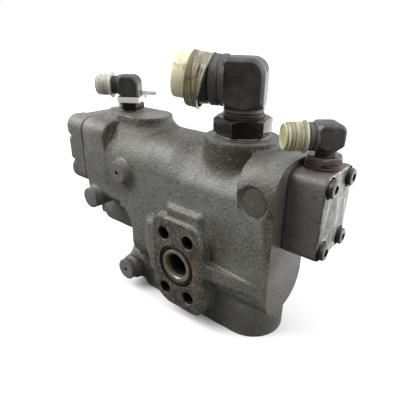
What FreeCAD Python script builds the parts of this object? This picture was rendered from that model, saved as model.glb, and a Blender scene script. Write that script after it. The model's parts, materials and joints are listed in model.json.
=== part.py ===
import FreeCAD, Part
import math
import os
from collections import namedtuple

# Hose rupture valve with a cast housing, built in millimetres.
# Origin: centre of the four-bolt flange port on its face. X runs along the long axis towards
# the pilot cover, Y runs into the housing (the flange faces -Y) and Z is up.

os.makedirs("parts", exist_ok=True)
V = FreeCAD.Vector
EX = V(1, 0, 0)
EY = V(0, 1, 0)
EZ = V(0, 0, 1)

# Clearances
SLIDE_GAP = 0.05          # radial gap of a piston or spool in its bore
LOOSE_GAP = 0.3           # gap between parts that only pass each other
THREAD_GAP = 0.1          # radial gap left in a plain-cylinder thread
PRESS_GAP = 0.02          # radial gap left round a pressed-in ring
SEAL_GAP = 0.1            # gap left round a rubber ring
SEAT_GAP = 0.02           # gap left between a closed poppet and its seat

# Main planes of the casting
MAIN_PLANE = 46.0         # Y of the plane that holds the spool, the ports and both covers
FRONT_WALL = 8.0          # Y of the front wall
SPOOL_Z = 72.0            # height of the spool bore
HOUSING_LEFT = -131.0     # joint face of the spring cover
HOUSING_RIGHT = 88.0      # joint face of the pilot cover
BARREL_BOTTOM = 32.0
BARREL_TOP = 106.0
BARREL_SHOULDER = 29.0    # radius of the long top edges
BARREL_EDGE = 9.0         # radius of the long bottom edges

# Square end block that carries the spring cover
END_BLOCK_LENGTH = 34.0
END_BLOCK_BOTTOM = 41.0
END_BLOCK_TOP = 109.5
END_BLOCK_EDGE = 12.0

# Lower block behind the flange
BLOCK_LEFT = -66.0
BLOCK_REAR = 63.0         # Y of its rear wall
BLOCK_BOTTOM = -20.0
BLOCK_FRONT_LOW = 20.0    # radius of the low front edge
BLOCK_REAR_LOW = 27.0     # radius of the low rear edge
BLOCK_END_EDGE = 3.0      # radius round the right end
COLUMN_RADIUS = 27.0      # upright column round the check valve
ARCH_RADIUS = 15.0        # hollow corner between barrel and lower block

# Foot that the valve stands on
FOOT_RADIUS = 29.0
FOOT_BOTTOM = -55.0
FOOT_TOP = -10.0          # inside the lower block
FOOT_LEFT = -64.0         # left face
FOOT_CORNER = 10.0        # radius of its two left corners
FOOT_RIGHT = 52.5         # centre of the right round end
FOOT_EDGE = 2.0
CAST_FILLET = 3.0         # hollow fillet at the roots of the pad and the main boss

# Four-bolt flange pad, 1 inch, high-pressure series
PAD_LEFT = -27.4
PAD_RIGHT = 31.0
PAD_TOP = 44.0
PAD_BOTTOM = -43.3
PAD_CORNER = 12.0
PAD_ROOT = 22.0           # Y where the pad ends inside the casting
BOLT_SPACING_X = 27.76
BOLT_SPACING_Z = 57.15
BOLT_DRILL = 10.2
BOLT_DEPTH = 20.0
PORT_BORE = 23.0
INLET_BORE = 22.0
GROOVE_OUTER = 40.0
GROOVE_DEPTH = 3.0
SLEEVE_OUTER = 31.7
SLEEVE_LENGTH = 24.0
SLEEVE_BODY = 28.0
O_RING_SECTION = 2.7

# Shelf beside the flange pad
SHELF_REACH = 78.0
SHELF_TOP = 17.0
SHELF_ROOT_Z = 14.0       # height of its sloping top beside the pad
SHELF_END_Z = 11.0        # and at its tip
SHELF_BOTTOM = 0.0
SHELF_FRONT = 0.8
SHELF_OVERLAP = 3.0       # how far it runs into the pad and the wall

# Bosses
DATUM_RADIUS = 10.5
DATUM_FLARE = 5.0
DATUM_HOLE = 3.0
DATUM_SINK = 0.8
DATUM_DRILL = 8.0
MAIN_BOSS_X = 32.7
MAIN_BOSS_RADIUS = 29.9
MAIN_BOSS_TOP = 114.5
OVAL_LEFT = HOUSING_LEFT + 32.0
OVAL_RIGHT = OVAL_LEFT + 26.0
OVAL_RADIUS = 20.6
OVAL_TOP = 116.5
OVAL_DRAFT = 5.0
CORE_PLUG_X = HOUSING_RIGHT - 17.5
CORE_PLUG_Z = 80.0
CORE_PLUG_RADIUS = 10.5
CORE_PLUG_THICKNESS = 4.0
CORE_PLUG_PROUD = 0.6
CORE_PLUG_SPOT = 13.0     # radius of the flat spot machined round it
DOME_LENGTH = 31.0        # swelling of the barrel behind the pilot cover
DOME_RISE = 3.0
DOME_FRONT = 5.0
DOME_BOTTOM = 60.0
DOME_EDGE = 23.0
DOME_END_EDGE = 3.0

# Spool and pilot end
SPOOL_DIAMETER = 24.0
SPOOL_NECK = 15.0
SPOOL_LEFT = HOUSING_LEFT + 51.0
SPOOL_RIGHT = HOUSING_RIGHT - 14.0
METERING_EDGE = 11.0      # right edge of the land that closes the cylinder annulus
NECK_END = 46.0
ANNULUS_DIAMETER = 34.0
ANNULUS_WIDTH = 16.0
SPOOL_STROKE = 8.0
PISTON_DIAMETER = 30.0
PISTON_LENGTH = 14.0
PISTON_STEM = 12.0
PISTON_GROOVE = 5.0       # from the piston's inner face to its ring groove
PISTON_GROOVE_WIDTH = 2.5
PISTON_GROOVE_DEPTH = 1.4
PISTON_HOLLOW = 12.0
PISTON_REST = HOUSING_RIGHT + 6.0   # X of the inner face of the piston at rest
SPRING_CHAMBER = 34.0
GUIDE_THICKNESS = 4.0
MAIN_SPRING_WIRE = 4.0
MAIN_SPRING_RADIUS = 12.0
MAIN_SPRING_TURNS = 6
COIL_SIDES = 8            # the wire of every spring is drawn with eight sides
SPIGOT_DIAMETER = 12.0
SPIGOT_LENGTH = 10.0
GUIDE_COLLAR = 18.0
GUIDE_ROOM = 1.5          # between the guide's flange and the chamber wall

# Pilot cover
COVER_DEPTH = 28.0
COVER_WIDTH = 48.0
COVER_BOTTOM = 39.5
COVER_TOP = 105.0
COVER_EDGE = 8.0
COVER_RIM = 1.5
COVER_BOLT_Y = 31.6
COVER_BOLT_Z = 48.5
M8_HEAD = 13.0
M8_SHANK = 8.0
M8_HEAD_HEIGHT = 8.0
M8_SINK = 4.0
M8_SINK_DIAMETER = 15.6
M8_LENGTH = 42.0
SOCKET_DEPTH = 4.0
TAP_SPARE = 4.0           # how much deeper a tapped hole is than its screw
NUT_BEVEL = 30.0          # slope of the bevel on the corners of a nut
FACE_SEAL_SECTION = 2.6

# Spring cover
SPRING_COVER_DEPTH = 23.0
SPRING_COVER_CREST = 10.0
CREST_HEIGHT = 30.0
CREST_INSET = 4.0
SPRING_BOLT_Y = 52.0
SPRING_BOLT_Z = 47.0
M10_HEAD = 16.0
M10_SHANK = 10.0
M10_HEAD_HEIGHT = 10.0
M10_SINK = 10.5
M10_SINK_DIAMETER = 18.0
M10_LENGTH = 35.0
SPRING_COVER_POCKET = 14.0
SPRING_SEAL_LAND = 2.0    # ring of metal between the chamber and its face seal

# Check valve under the main port
CHECK_SEAT_Z = 36.0
CHECK_SEAT_BORE = 22.0
CHECK_CHAMBER = 34.0
POPPET_DIAMETER = 25.0
POPPET_SKIRT = 56.0
POPPET_TIP = 7.0          # height of the seating cone and radius of its flat end
POPPET_WALL = 3.0
CHECK_PLUG_THREAD = 38.0
CHECK_PLUG_HEIGHT = 32.0
CHECK_PLUG_RECESS = 1.2
CHECK_SPRING_WIRE = 2.5
CHECK_SPRING_RADIUS = 7.5
CHECK_SPRING_TURNS = 7
CHECK_PLUG_GUIDE = 12.0
CHECK_PLUG_FLOOR = 14.0
CHECK_PLUG_KEY = 14.0
CHECK_PLUG_WALL = 5.0     # metal between its key hole and its room
CHECK_PLUG_SEAL = 2.4
CROSS_BORE = 18.0

# Relief cartridge, in the barrel below the spring cover
RELIEF_Z = 8.0
RELIEF_BARREL = 20.5
RELIEF_BARREL_END = -40.0
WEB_WIDTH = 24.0          # web between the cartridge's barrel and the main barrel
WEB_SETBACK = 8.0
WEB_OVERLAP = 5.0
WEB_ROOT = 12.0
RELIEF_THREAD = 27.0
RELIEF_FLATS = 32.0
RELIEF_HEX = 12.0
RELIEF_HEX_BEVEL = 1.5
RELIEF_NOSE = 20.0
RELIEF_NOSE_LENGTH = 16.0
RELIEF_SEAT_LENGTH = 6.0  # length of the seat hole at the nose
RELIEF_OUTLET = 5.0       # four cross holes, in line with the drain port
RELIEF_BORE = 13.0
RELIEF_SEAL = 1.9         # section of the two O-rings of the cartridge
RELIEF_SEAL_SETBACK = 5.0
RELIEF_SEAT = 8.0
RELIEF_CONE_LENGTH = 16.0
RELIEF_CONE_POINT = 5.0
RELIEF_CONE_STUB = 4.0
RELIEF_SPRING_WIRE = 1.6
RELIEF_SPRING_RADIUS = 4.6
RELIEF_SPRING_TURNS = 5
ADJUSTER_DIAMETER = 10.0
ADJUSTER_PROUD = 20.0
ADJUSTER_PLATE = 5.0
ADJUSTER_REACH = 6.0      # how far the plate of the set screw lies inside the housing face
ADJUSTER_NUT_FLATS = 17.0
ADJUSTER_NUT_HEIGHT = 7.0
ADJUSTER_NUT_BEVEL = 0.8

# Elbows: one set of sizes each. The seat is the height that the elbow's washer rests on,
# the turn is the angle of the arm from -X towards the front.
Elbow = namedtuple("Elbow", "x seat turn stud stud_depth bore nut_wall nut_height nut_turn "
                            "washer_rim washer_thick block block_bottom axis_rise crown collar arm arm_reach "
                            "outer_radius bevel shoulder cap_wall cap_start cap_tail cap_lip "
                            "cap_skirt cap_step cap_play cap_tilt cap_lift")

MAIN_STUD = 33.3
MAIN_ARM = 36.5
MAIN = Elbow(x=MAIN_BOSS_X, seat=MAIN_BOSS_TOP, turn=25.0, stud=MAIN_STUD, stud_depth=20.0,
             bore=22.0, nut_wall=3.85, nut_height=13.5, nut_turn=18.6, washer_rim=2.5,
             washer_thick=2.5, block=32.5, block_bottom=20.0, axis_rise=41.4, crown=17.6,
             collar=38.0, arm=MAIN_ARM, arm_reach=37.5, outer_radius=12.0, bevel=2.8,
             shoulder=9.0, cap_wall=1.1, cap_start=29.0, cap_tail=16.5, cap_lip=1.0,
             cap_skirt=1.5, cap_step=3.8, cap_play=1.65, cap_tilt=8.0, cap_lift=0.4)

PILOT_STUD = 14.0
PILOT_ARM = 17.5
PILOT = Elbow(x=HOUSING_RIGHT + COVER_DEPTH / 2, seat=COVER_TOP, turn=44.0, stud=PILOT_STUD,
              stud_depth=11.0, bore=7.0, nut_wall=5.0, nut_height=5.5, nut_turn=10.0,
              washer_rim=1.7, washer_thick=3.5, block=20.0, block_bottom=10.5, axis_rise=21.5,
              crown=10.0, collar=19.4, arm=PILOT_ARM, arm_reach=28.0, outer_radius=6.0,
              bevel=1.8, shoulder=1.0, cap_wall=1.2, cap_start=12.0, cap_tail=3.5, cap_lip=1.4,
              cap_skirt=0.3, cap_step=0.7, cap_play=0.1, cap_tilt=0.0, cap_lift=0.0)

DRAIN_STUD = 14.0
DRAIN_ARM = 17.0
DRAIN = Elbow(x=OVAL_LEFT, seat=OVAL_TOP, turn=33.0, stud=DRAIN_STUD, stud_depth=13.0, bore=7.0,
              nut_wall=4.0, nut_height=7.0, nut_turn=5.0, washer_rim=1.0, washer_thick=1.5,
              block=19.5, block_bottom=8.8, axis_rise=23.5, crown=9.75, collar=18.9,
              arm=DRAIN_ARM, arm_reach=29.0, outer_radius=8.0, bevel=1.8, shoulder=1.5,
              cap_wall=1.2, cap_start=16.5, cap_tail=3.0, cap_lip=2.2,
              cap_skirt=0.2, cap_step=0.7, cap_play=0.1, cap_tilt=0.0, cap_lift=0.0)

PORT_SEAL = 2.0           # section of the O-ring under each elbow's washer
CAP_LIP_WIDTH = 1.0
CAP_EDGE = 1.0            # bevel of a cap's closed end and of its steps
CAP_ROOM = 0.5            # from the end of the arm to the step inside its cap

# Cable tie round the drain elbow
TIE_WIDTH = 4.8
TIE_THICKNESS = 1.3
TIE_HEAD = 5.5
TIE_DEPTH = 4.0
TIE_TAIL = 11.0
TIE_RISE = 2.5            # how far the tail leaves above the band

REAR_WALL = 2 * MAIN_PLANE - FRONT_WALL
COVER_FACE = HOUSING_RIGHT + COVER_DEPTH
SPRING_COVER_FACE = HOUSING_LEFT - SPRING_COVER_DEPTH
CYLINDER_ANNULUS_X = 0.0
SPRING_CHAMBER_END = SPOOL_LEFT + SLIDE_GAP
SPRING_SEAL_INNER = SPRING_CHAMBER + 2 * SPRING_SEAL_LAND
SPOOL_START = SPOOL_LEFT - SPIGOT_LENGTH
SPRING_POCKET_END = HOUSING_LEFT - SPRING_COVER_POCKET
PLUG_FLOOR_Z = FOOT_BOTTOM + CHECK_PLUG_RECESS + CHECK_PLUG_FLOOR
RELIEF_CONE_RADIUS = RELIEF_BORE / 2 - 2 * SLIDE_GAP
RELIEF_OUTLET_X = OVAL_LEFT
RELIEF_SEAT_X = RELIEF_OUTLET_X + RELIEF_OUTLET
RELIEF_NOSE_X = RELIEF_SEAT_X + RELIEF_SEAT_LENGTH
RELIEF_CONE_BACK = (RELIEF_SEAT_X - RELIEF_CONE_LENGTH
                    + RELIEF_SEAT / 2 / RELIEF_CONE_RADIUS * RELIEF_CONE_POINT)


def box(x0, x1, y0, y1, z0, z1):
    return Part.makeBox(x1 - x0, y1 - y0, z1 - z0, V(x0, y0, z0))


def rod(diameter, length, start, direction):
    return Part.makeCylinder(diameter / 2, length, start, direction)


def tube(outer, inner, length, start, direction):
    return rod(outer, length, start, direction).cut(rod(inner, length, start, direction))


def joined(shapes):
    return shapes[0].multiFuse(shapes[1:]).removeSplitter()


def hexagon(flats, length, start, direction, turn=0.0, sink=0.0):
    """A hexagon bar; sink bevels its corners at the far end, as on a nut."""
    radius = flats / math.sqrt(3)
    side = EX if abs(direction.dot(EX)) < 0.9 else EZ
    up = direction.cross(side)
    points = []
    for i in range(7):
        angle = math.radians(60 * i + turn)
        points.append(start + side * (radius * math.cos(angle)) + up * (radius * math.sin(angle)))
    bar = Part.Face(Part.makePolygon(points)).extrude(direction * length)
    if sink > 0:
        wide = radius + sink
        rise = (wide - radius + sink) * math.tan(math.radians(NUT_BEVEL))
        cone = Part.makeCone(wide, radius - sink, rise, start + direction * (length - rise),
                             direction)
        lower = rod(2 * wide, length - rise, start, direction)
        bar = bar.common(cone.fuse(lower))
    return bar


def turned(points, start, direction):
    """A solid of revolution from (along, radius) pairs, listed as a closed outline."""
    side = EZ if abs(direction.dot(EZ)) < 0.9 else EX
    corners = [start + direction * along + side * radius for along, radius in points]
    face = Part.Face(Part.makePolygon(corners + corners[:1]))
    return face.revolve(start, direction, 360)


def flared_boss(radius, flare, length, start, direction):
    """A round boss whose root spreads in a hollow quarter circle, start is its free face."""
    side = EZ if abs(direction.dot(EZ)) < 0.9 else EX

    def at(along, out):
        return start + direction * along + side * out

    lean = flare * (1 - math.sqrt(0.5))
    edges = [
        Part.LineSegment(at(0, 0), at(0, radius)).toShape(),
        Part.LineSegment(at(0, radius), at(length - flare, radius)).toShape(),
        Part.Arc(at(length - flare, radius), at(length - lean, radius + lean),
                 at(length, radius + flare)).toShape(),
        Part.LineSegment(at(length, radius + flare), at(length, 0)).toShape(),
        Part.LineSegment(at(length, 0), at(0, 0)).toShape(),
    ]
    return Part.Face(Part.Wire(edges)).revolve(start, direction, 360)


def edges_along(shape, direction, keep):
    """Straight edges parallel to a direction whose middle passes a test."""
    found = []
    for edge in shape.Edges:
        first = edge.Vertexes[0].Point
        last = edge.Vertexes[-1].Point
        span = last - first
        if span.Length > 1e-6 and abs(span.normalize().dot(direction)) > 0.999:
            if keep((first + last) * 0.5):
                found.append(edge)
    return found


def obround(x_left, x_right, y, radius, z0, z1, draft=0.0):
    """An upright bar with round ends; draft widens its bottom by a loft."""
    def outline(size, z):
        a = V(x_left, y - size, z)
        b = V(x_right, y - size, z)
        c = V(x_right, y + size, z)
        d = V(x_left, y + size, z)
        return Part.Wire([
            Part.LineSegment(a, b).toShape(),
            Part.Arc(b, V(x_right + size, y, z), c).toShape(),
            Part.LineSegment(c, d).toShape(),
            Part.Arc(d, V(x_left - size, y, z), a).toShape(),
        ])
    if draft == 0:
        return Part.Face(outline(radius, z0)).extrude(EZ * (z1 - z0))
    return Part.makeLoft([outline(radius + draft, z0), outline(radius, z1)], True, True)


def end_plate(x0, x1, y0, y1, z0, z1, radius):
    """A block whose four long edges along X are rounded."""
    plate = box(x0, x1, y0, y1, z0, z1)
    return plate.makeFillet(radius, edges_along(plate, EX, lambda p: True))


def barrel():
    """The long horizontal body round the spool bore."""
    bar = box(HOUSING_LEFT + 1, HOUSING_RIGHT, FRONT_WALL, REAR_WALL, BARREL_BOTTOM, BARREL_TOP)
    bar = bar.makeFillet(BARREL_SHOULDER, edges_along(bar, EX, lambda p: p.z > SPOOL_Z))
    return bar.makeFillet(BARREL_EDGE, edges_along(bar, EX, lambda p: p.z < BARREL_BOTTOM + 1))


def foot():
    """The foot the valve stands on: round at the right end, small corners at the left."""
    size = FOOT_RADIUS
    bend = FOOT_CORNER
    lean = bend * (1 - math.sqrt(0.5))
    front = MAIN_PLANE - size
    rear = MAIN_PLANE + size
    z = FOOT_BOTTOM
    a = V(FOOT_LEFT + bend, front, z)
    b = V(FOOT_RIGHT, front, z)
    c = V(FOOT_RIGHT, rear, z)
    d = V(FOOT_LEFT + bend, rear, z)
    e = V(FOOT_LEFT, rear - bend, z)
    f = V(FOOT_LEFT, front + bend, z)
    outline = Part.Wire([
        Part.LineSegment(a, b).toShape(),
        Part.Arc(b, V(FOOT_RIGHT + size, MAIN_PLANE, z), c).toShape(),
        Part.LineSegment(c, d).toShape(),
        Part.Arc(d, V(FOOT_LEFT + lean, rear - lean, z), e).toShape(),
        Part.LineSegment(e, f).toShape(),
        Part.Arc(f, V(FOOT_LEFT + lean, front + lean, z), a).toShape(),
    ])
    block = Part.Face(outline).extrude(EZ * (FOOT_TOP - FOOT_BOTTOM))
    low_edges = [edge for edge in block.Edges if abs(edge.CenterOfMass.z - FOOT_BOTTOM) < 1e-3]
    return block.makeFillet(FOOT_EDGE, low_edges)


def lower_block():
    """The block behind the flange, round below and rear where it follows the cross passage."""
    x = BLOCK_LEFT
    front = BLOCK_FRONT_LOW
    rear = BLOCK_REAR_LOW
    root = math.sqrt(0.5)
    front_middle = V(x, FRONT_WALL + front * (1 - root), BLOCK_BOTTOM + front * (1 - root))
    rear_middle = V(x, BLOCK_REAR - rear * (1 - root), BLOCK_BOTTOM + rear * (1 - root))
    a = V(x, FRONT_WALL, SPOOL_Z)
    b = V(x, FRONT_WALL, BLOCK_BOTTOM + front)
    c = V(x, FRONT_WALL + front, BLOCK_BOTTOM)
    d = V(x, BLOCK_REAR - rear, BLOCK_BOTTOM)
    e = V(x, BLOCK_REAR, BLOCK_BOTTOM + rear)
    f = V(x, BLOCK_REAR, SPOOL_Z)
    outline = Part.Wire([
        Part.LineSegment(a, b).toShape(),
        Part.Arc(b, front_middle, c).toShape(),
        Part.LineSegment(c, d).toShape(),
        Part.Arc(d, rear_middle, e).toShape(),
        Part.LineSegment(e, f).toShape(),
        Part.LineSegment(f, a).toShape(),
    ])
    block = Part.Face(outline).extrude(EX * (HOUSING_RIGHT - BLOCK_LEFT))
    low = [edge for edge in block.Edges if abs(edge.CenterOfMass.x - HOUSING_RIGHT) < 1e-3
           and abs(edge.CenterOfMass.z - BLOCK_BOTTOM) < 1e-3]
    return block.makeFillet(BLOCK_END_EDGE, low)


def arch():
    """The hollow corner between the barrel's underside and the lower block."""
    corner = box(BLOCK_LEFT - ARCH_RADIUS, BLOCK_LEFT + 1, FRONT_WALL, MAIN_PLANE,
                 BARREL_BOTTOM - ARCH_RADIUS, BARREL_BOTTOM + BARREL_EDGE)
    hollow = rod(2 * ARCH_RADIUS, MAIN_PLANE, V(BLOCK_LEFT - ARCH_RADIUS, FRONT_WALL - 1,
                                                BARREL_BOTTOM - ARCH_RADIUS), EY)
    return corner.cut(hollow)


def shelf():
    """The tapering shelf to the right of the flange pad."""
    root = PAD_RIGHT - SHELF_OVERLAP
    deep = FRONT_WALL + SHELF_OVERLAP
    plan = [V(root, SHELF_FRONT, SHELF_BOTTOM), V(SHELF_REACH, FRONT_WALL, SHELF_BOTTOM),
            V(SHELF_REACH, deep, SHELF_BOTTOM), V(root, deep, SHELF_BOTTOM)]
    wedge = Part.Face(Part.makePolygon(plan + plan[:1])).extrude(EZ * (SHELF_TOP - SHELF_BOTTOM))
    above = SHELF_TOP + 1
    end = SHELF_REACH + 1
    slope = [V(root - 1, -1, above), V(end, -1, above), V(end, -1, SHELF_END_Z),
             V(root - 1, -1, SHELF_ROOT_Z)]
    trim = Part.Face(Part.makePolygon(slope + slope[:1])).extrude(EY * (deep + 2))
    return wedge.cut(trim)


def flange_pad():
    pad = box(PAD_LEFT, PAD_RIGHT, 0, PAD_ROOT, PAD_BOTTOM, PAD_TOP)
    return pad.makeFillet(PAD_CORNER, edges_along(pad, EY, lambda p: True))


def datum_places():
    """X and Z of each datum boss, the Y of its root and whether it has a centre hole."""
    return [(-72.0, 70.0, FRONT_WALL + 2, True),
            (HOUSING_LEFT + 12.3, 31.6, MAIN_PLANE, False),
            (-70.9, -34.6, MAIN_PLANE, True)]


def datum_bosses():
    """Three round bosses whose faces lie in the flange plane."""
    return [flared_boss(DATUM_RADIUS, DATUM_FLARE, root, V(x, 0, z), EY)
            for x, z, root, drilled in datum_places()]


def centre_hole(x, z):
    """A drilled centre with its 60 degree countersink."""
    size = DATUM_HOLE / 2
    start = V(x, 0, z)
    sink = Part.makeCone(size + DATUM_SINK, size, DATUM_SINK * math.sqrt(3), start, EY)
    return rod(DATUM_HOLE, DATUM_DRILL, start, EY).fuse(sink)


def casting():
    """The raw casting before it is bored."""
    plane = MAIN_PLANE
    end_block = end_plate(HOUSING_LEFT, HOUSING_LEFT + END_BLOCK_LENGTH, FRONT_WALL, REAR_WALL,
                          END_BLOCK_BOTTOM, END_BLOCK_TOP, END_BLOCK_EDGE)
    oval = obround(OVAL_LEFT, OVAL_RIGHT, plane, OVAL_RADIUS, BARREL_TOP - 14, OVAL_TOP, OVAL_DRAFT)
    main_boss = rod(2 * MAIN_BOSS_RADIUS, MAIN_BOSS_TOP - SPOOL_Z,
                    V(MAIN_BOSS_X, plane, SPOOL_Z), EZ)
    relief_barrel = rod(2 * RELIEF_BARREL, RELIEF_BARREL_END - HOUSING_LEFT,
                        V(HOUSING_LEFT, plane, RELIEF_Z), EX)
    web = box(HOUSING_LEFT + WEB_SETBACK, BLOCK_LEFT + WEB_OVERLAP, plane - WEB_WIDTH / 2,
              plane + WEB_WIDTH / 2, RELIEF_Z, BARREL_BOTTOM + WEB_ROOT)
    dome_left = HOUSING_RIGHT - DOME_LENGTH
    dome = end_plate(dome_left, HOUSING_RIGHT, DOME_FRONT, REAR_WALL, DOME_BOTTOM,
                     BARREL_TOP + DOME_RISE, DOME_EDGE)
    dome = dome.makeFillet(DOME_END_EDGE, [edge for edge in dome.Edges
                                           if abs(edge.CenterOfMass.x - dome_left) < 1e-3])
    column = rod(2 * COLUMN_RADIUS, SPOOL_Z - FOOT_BOTTOM - FOOT_EDGE,
                 V(MAIN_BOSS_X, plane, FOOT_BOTTOM + FOOT_EDGE), EZ)
    pieces = [barrel(), end_block, lower_block(), foot(), column, oval, main_boss, relief_barrel,
              web, dome, arch(), flange_pad(), shelf()]
    raw = joined(pieces + datum_bosses()).Solids[0]
    return raw.makeFillet(CAST_FILLET, pad_root(raw) + boss_root(raw))


def pad_root(solid):
    """Edges where the flange pad meets the front wall."""
    return [edge for edge in solid.Edges
            if abs(edge.BoundBox.YMin - FRONT_WALL) < 0.01 and abs(edge.BoundBox.YMax - FRONT_WALL) < 0.01
            and edge.BoundBox.XMin > PAD_LEFT - 0.01 and edge.BoundBox.XMax < PAD_RIGHT + 0.01
            and edge.BoundBox.ZMax < PAD_TOP + 0.01 and edge.BoundBox.ZMin > PAD_BOTTOM]


def boss_root(solid):
    """Edges where the left side of the main boss meets the barrel."""
    found = []
    for edge in solid.Edges:
        spread = edge.LastParameter - edge.FirstParameter
        points = [edge.valueAt(edge.FirstParameter + spread * k / 4) for k in range(5)]
        away = max(abs(math.hypot(p.x - MAIN_BOSS_X, p.y - MAIN_PLANE) - MAIN_BOSS_RADIUS)
                   for p in points)
        if away < 0.05 and edge.BoundBox.ZMax < BARREL_TOP + 0.1 and edge.CenterOfMass.x < MAIN_BOSS_X:
            found.append(edge)
    return found


def tapped_holes(centres, direction, diameter, depth):
    return [rod(diameter, depth, centre, direction) for centre in centres]


def bolt_centres():
    return [V(i * BOLT_SPACING_X / 2, 0, k * BOLT_SPACING_Z / 2) for i in (-1, 1) for k in (-1, 1)]


def pilot_bolts(x):
    middle = (COVER_BOTTOM + COVER_TOP) / 2
    return [V(x, MAIN_PLANE + j * COVER_BOLT_Y / 2, middle + k * COVER_BOLT_Z / 2)
            for j in (-1, 1) for k in (-1, 1)]


def spring_bolts(x):
    middle = (END_BLOCK_BOTTOM + END_BLOCK_TOP) / 2
    return [V(x, MAIN_PLANE + j * SPRING_BOLT_Y / 2, middle + k * SPRING_BOLT_Z / 2)
            for j in (-1, 1) for k in (-1, 1)]


def passages():
    """All bores, ports and tapped holes of the housing."""
    plane = MAIN_PLANE
    spool_bore = rod(SPOOL_DIAMETER + 2 * SLIDE_GAP, HOUSING_RIGHT - HOUSING_LEFT,
                     V(HOUSING_LEFT, plane, SPOOL_Z), EX)
    spring_room = rod(SPRING_CHAMBER, SPRING_CHAMBER_END - HOUSING_LEFT,
                      V(HOUSING_LEFT, plane, SPOOL_Z), EX)
    piston_room_depth = SPOOL_STROKE + LOOSE_GAP + HOUSING_RIGHT - PISTON_REST + 4
    piston_room = rod(PISTON_DIAMETER + 1, piston_room_depth,
                      V(HOUSING_RIGHT - piston_room_depth, plane, SPOOL_Z), EX)
    cuts = [spool_bore, spring_room, piston_room]
    for x in (CYLINDER_ANNULUS_X, MAIN_BOSS_X):
        cuts.append(rod(ANNULUS_DIAMETER, ANNULUS_WIDTH,
                        V(x - ANNULUS_WIDTH / 2, plane, SPOOL_Z), EX))
    top_port = rod(MAIN.stud + 2 * THREAD_GAP, MAIN.stud_depth + 4,
                   V(MAIN_BOSS_X, plane, MAIN_BOSS_TOP - MAIN.stud_depth - 4), EZ)
    seat_bore = rod(CHECK_SEAT_BORE, MAIN_BOSS_TOP - CHECK_SEAT_Z - 4,
                    V(MAIN_BOSS_X, plane, CHECK_SEAT_Z), EZ)
    chamber = rod(CHECK_CHAMBER, CHECK_SEAT_Z - FOOT_BOTTOM, V(MAIN_BOSS_X, plane, FOOT_BOTTOM), EZ)
    plug_room = rod(CHECK_PLUG_THREAD + 2 * THREAD_GAP, CHECK_PLUG_HEIGHT + CHECK_PLUG_RECESS,
                    V(MAIN_BOSS_X, plane, FOOT_BOTTOM), EZ)
    cuts += [top_port, mouth_groove(MAIN), seat_bore, chamber, plug_room]
    port = rod(SLEEVE_BODY + 2 * PRESS_GAP, SLEEVE_LENGTH + PRESS_GAP, V(0, 0, 0), EY)
    groove = rod(GROOVE_OUTER, GROOVE_DEPTH, V(0, 0, 0), EY)
    inlet = rod(INLET_BORE, plane, V(0, 0, 0), EY)
    cross = rod(CROSS_BORE, MAIN_BOSS_X, V(0, plane, 0), EX)
    riser = rod(CROSS_BORE, SPOOL_Z, V(0, plane, 0), EZ)
    cuts += [port, groove, inlet, cross, riser]
    for centre in bolt_centres():
        cuts.append(rod(BOLT_DRILL, BOLT_DEPTH, centre, EY))
    drain = rod(DRAIN.stud + 2 * THREAD_GAP, DRAIN.stud_depth + 3,
                V(DRAIN.x, plane, OVAL_TOP - DRAIN.stud_depth - 3), EZ)
    drain_way = rod(DRAIN.bore, OVAL_TOP - RELIEF_Z, V(DRAIN.x, plane, RELIEF_Z), EZ)
    relief_face = V(HOUSING_LEFT, plane, RELIEF_Z)
    relief_room = rod(RELIEF_THREAD + 2 * THREAD_GAP,
                      RELIEF_NOSE_X - RELIEF_NOSE_LENGTH - HOUSING_LEFT + LOOSE_GAP, relief_face, EX)
    nose_room = rod(RELIEF_NOSE + 2 * SLIDE_GAP, RELIEF_NOSE_X - HOUSING_LEFT + LOOSE_GAP,
                    relief_face, EX)
    outlet_groove = rod(RELIEF_NOSE + RELIEF_OUTLET, RELIEF_OUTLET,
                        V(RELIEF_OUTLET_X - RELIEF_OUTLET / 2, plane, RELIEF_Z), EX)
    relief_way = rod(RELIEF_SEAT + 2, -HOUSING_LEFT, relief_face, EX)
    cuts += [drain, mouth_groove(DRAIN), drain_way, relief_room, nose_room, outlet_groove,
             relief_way, relief_mouth()]
    cuts += [centre_hole(x, z) for x, z, root, drilled in datum_places() if drilled]
    cuts.append(rod(2 * CORE_PLUG_RADIUS + 2 * PRESS_GAP, CORE_PLUG_THICKNESS - CORE_PLUG_PROUD,
                    V(CORE_PLUG_X, FRONT_WALL, CORE_PLUG_Z), EY))
    cuts.append(rod(2 * CORE_PLUG_SPOT, FRONT_WALL, V(CORE_PLUG_X, 0, CORE_PLUG_Z), EY))
    cuts += tapped_holes(pilot_bolts(HOUSING_RIGHT), EX * -1, M8_SHANK,
                         M8_LENGTH - COVER_DEPTH + TAP_SPARE)
    cuts += tapped_holes(spring_bolts(HOUSING_LEFT), EX, M10_SHANK,
                         M10_LENGTH + M10_SINK - SPRING_COVER_DEPTH + TAP_SPARE)
    return cuts


def main_housing():
    body = casting()
    for cut in passages():
        body = body.cut(cut)
    return body


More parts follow.
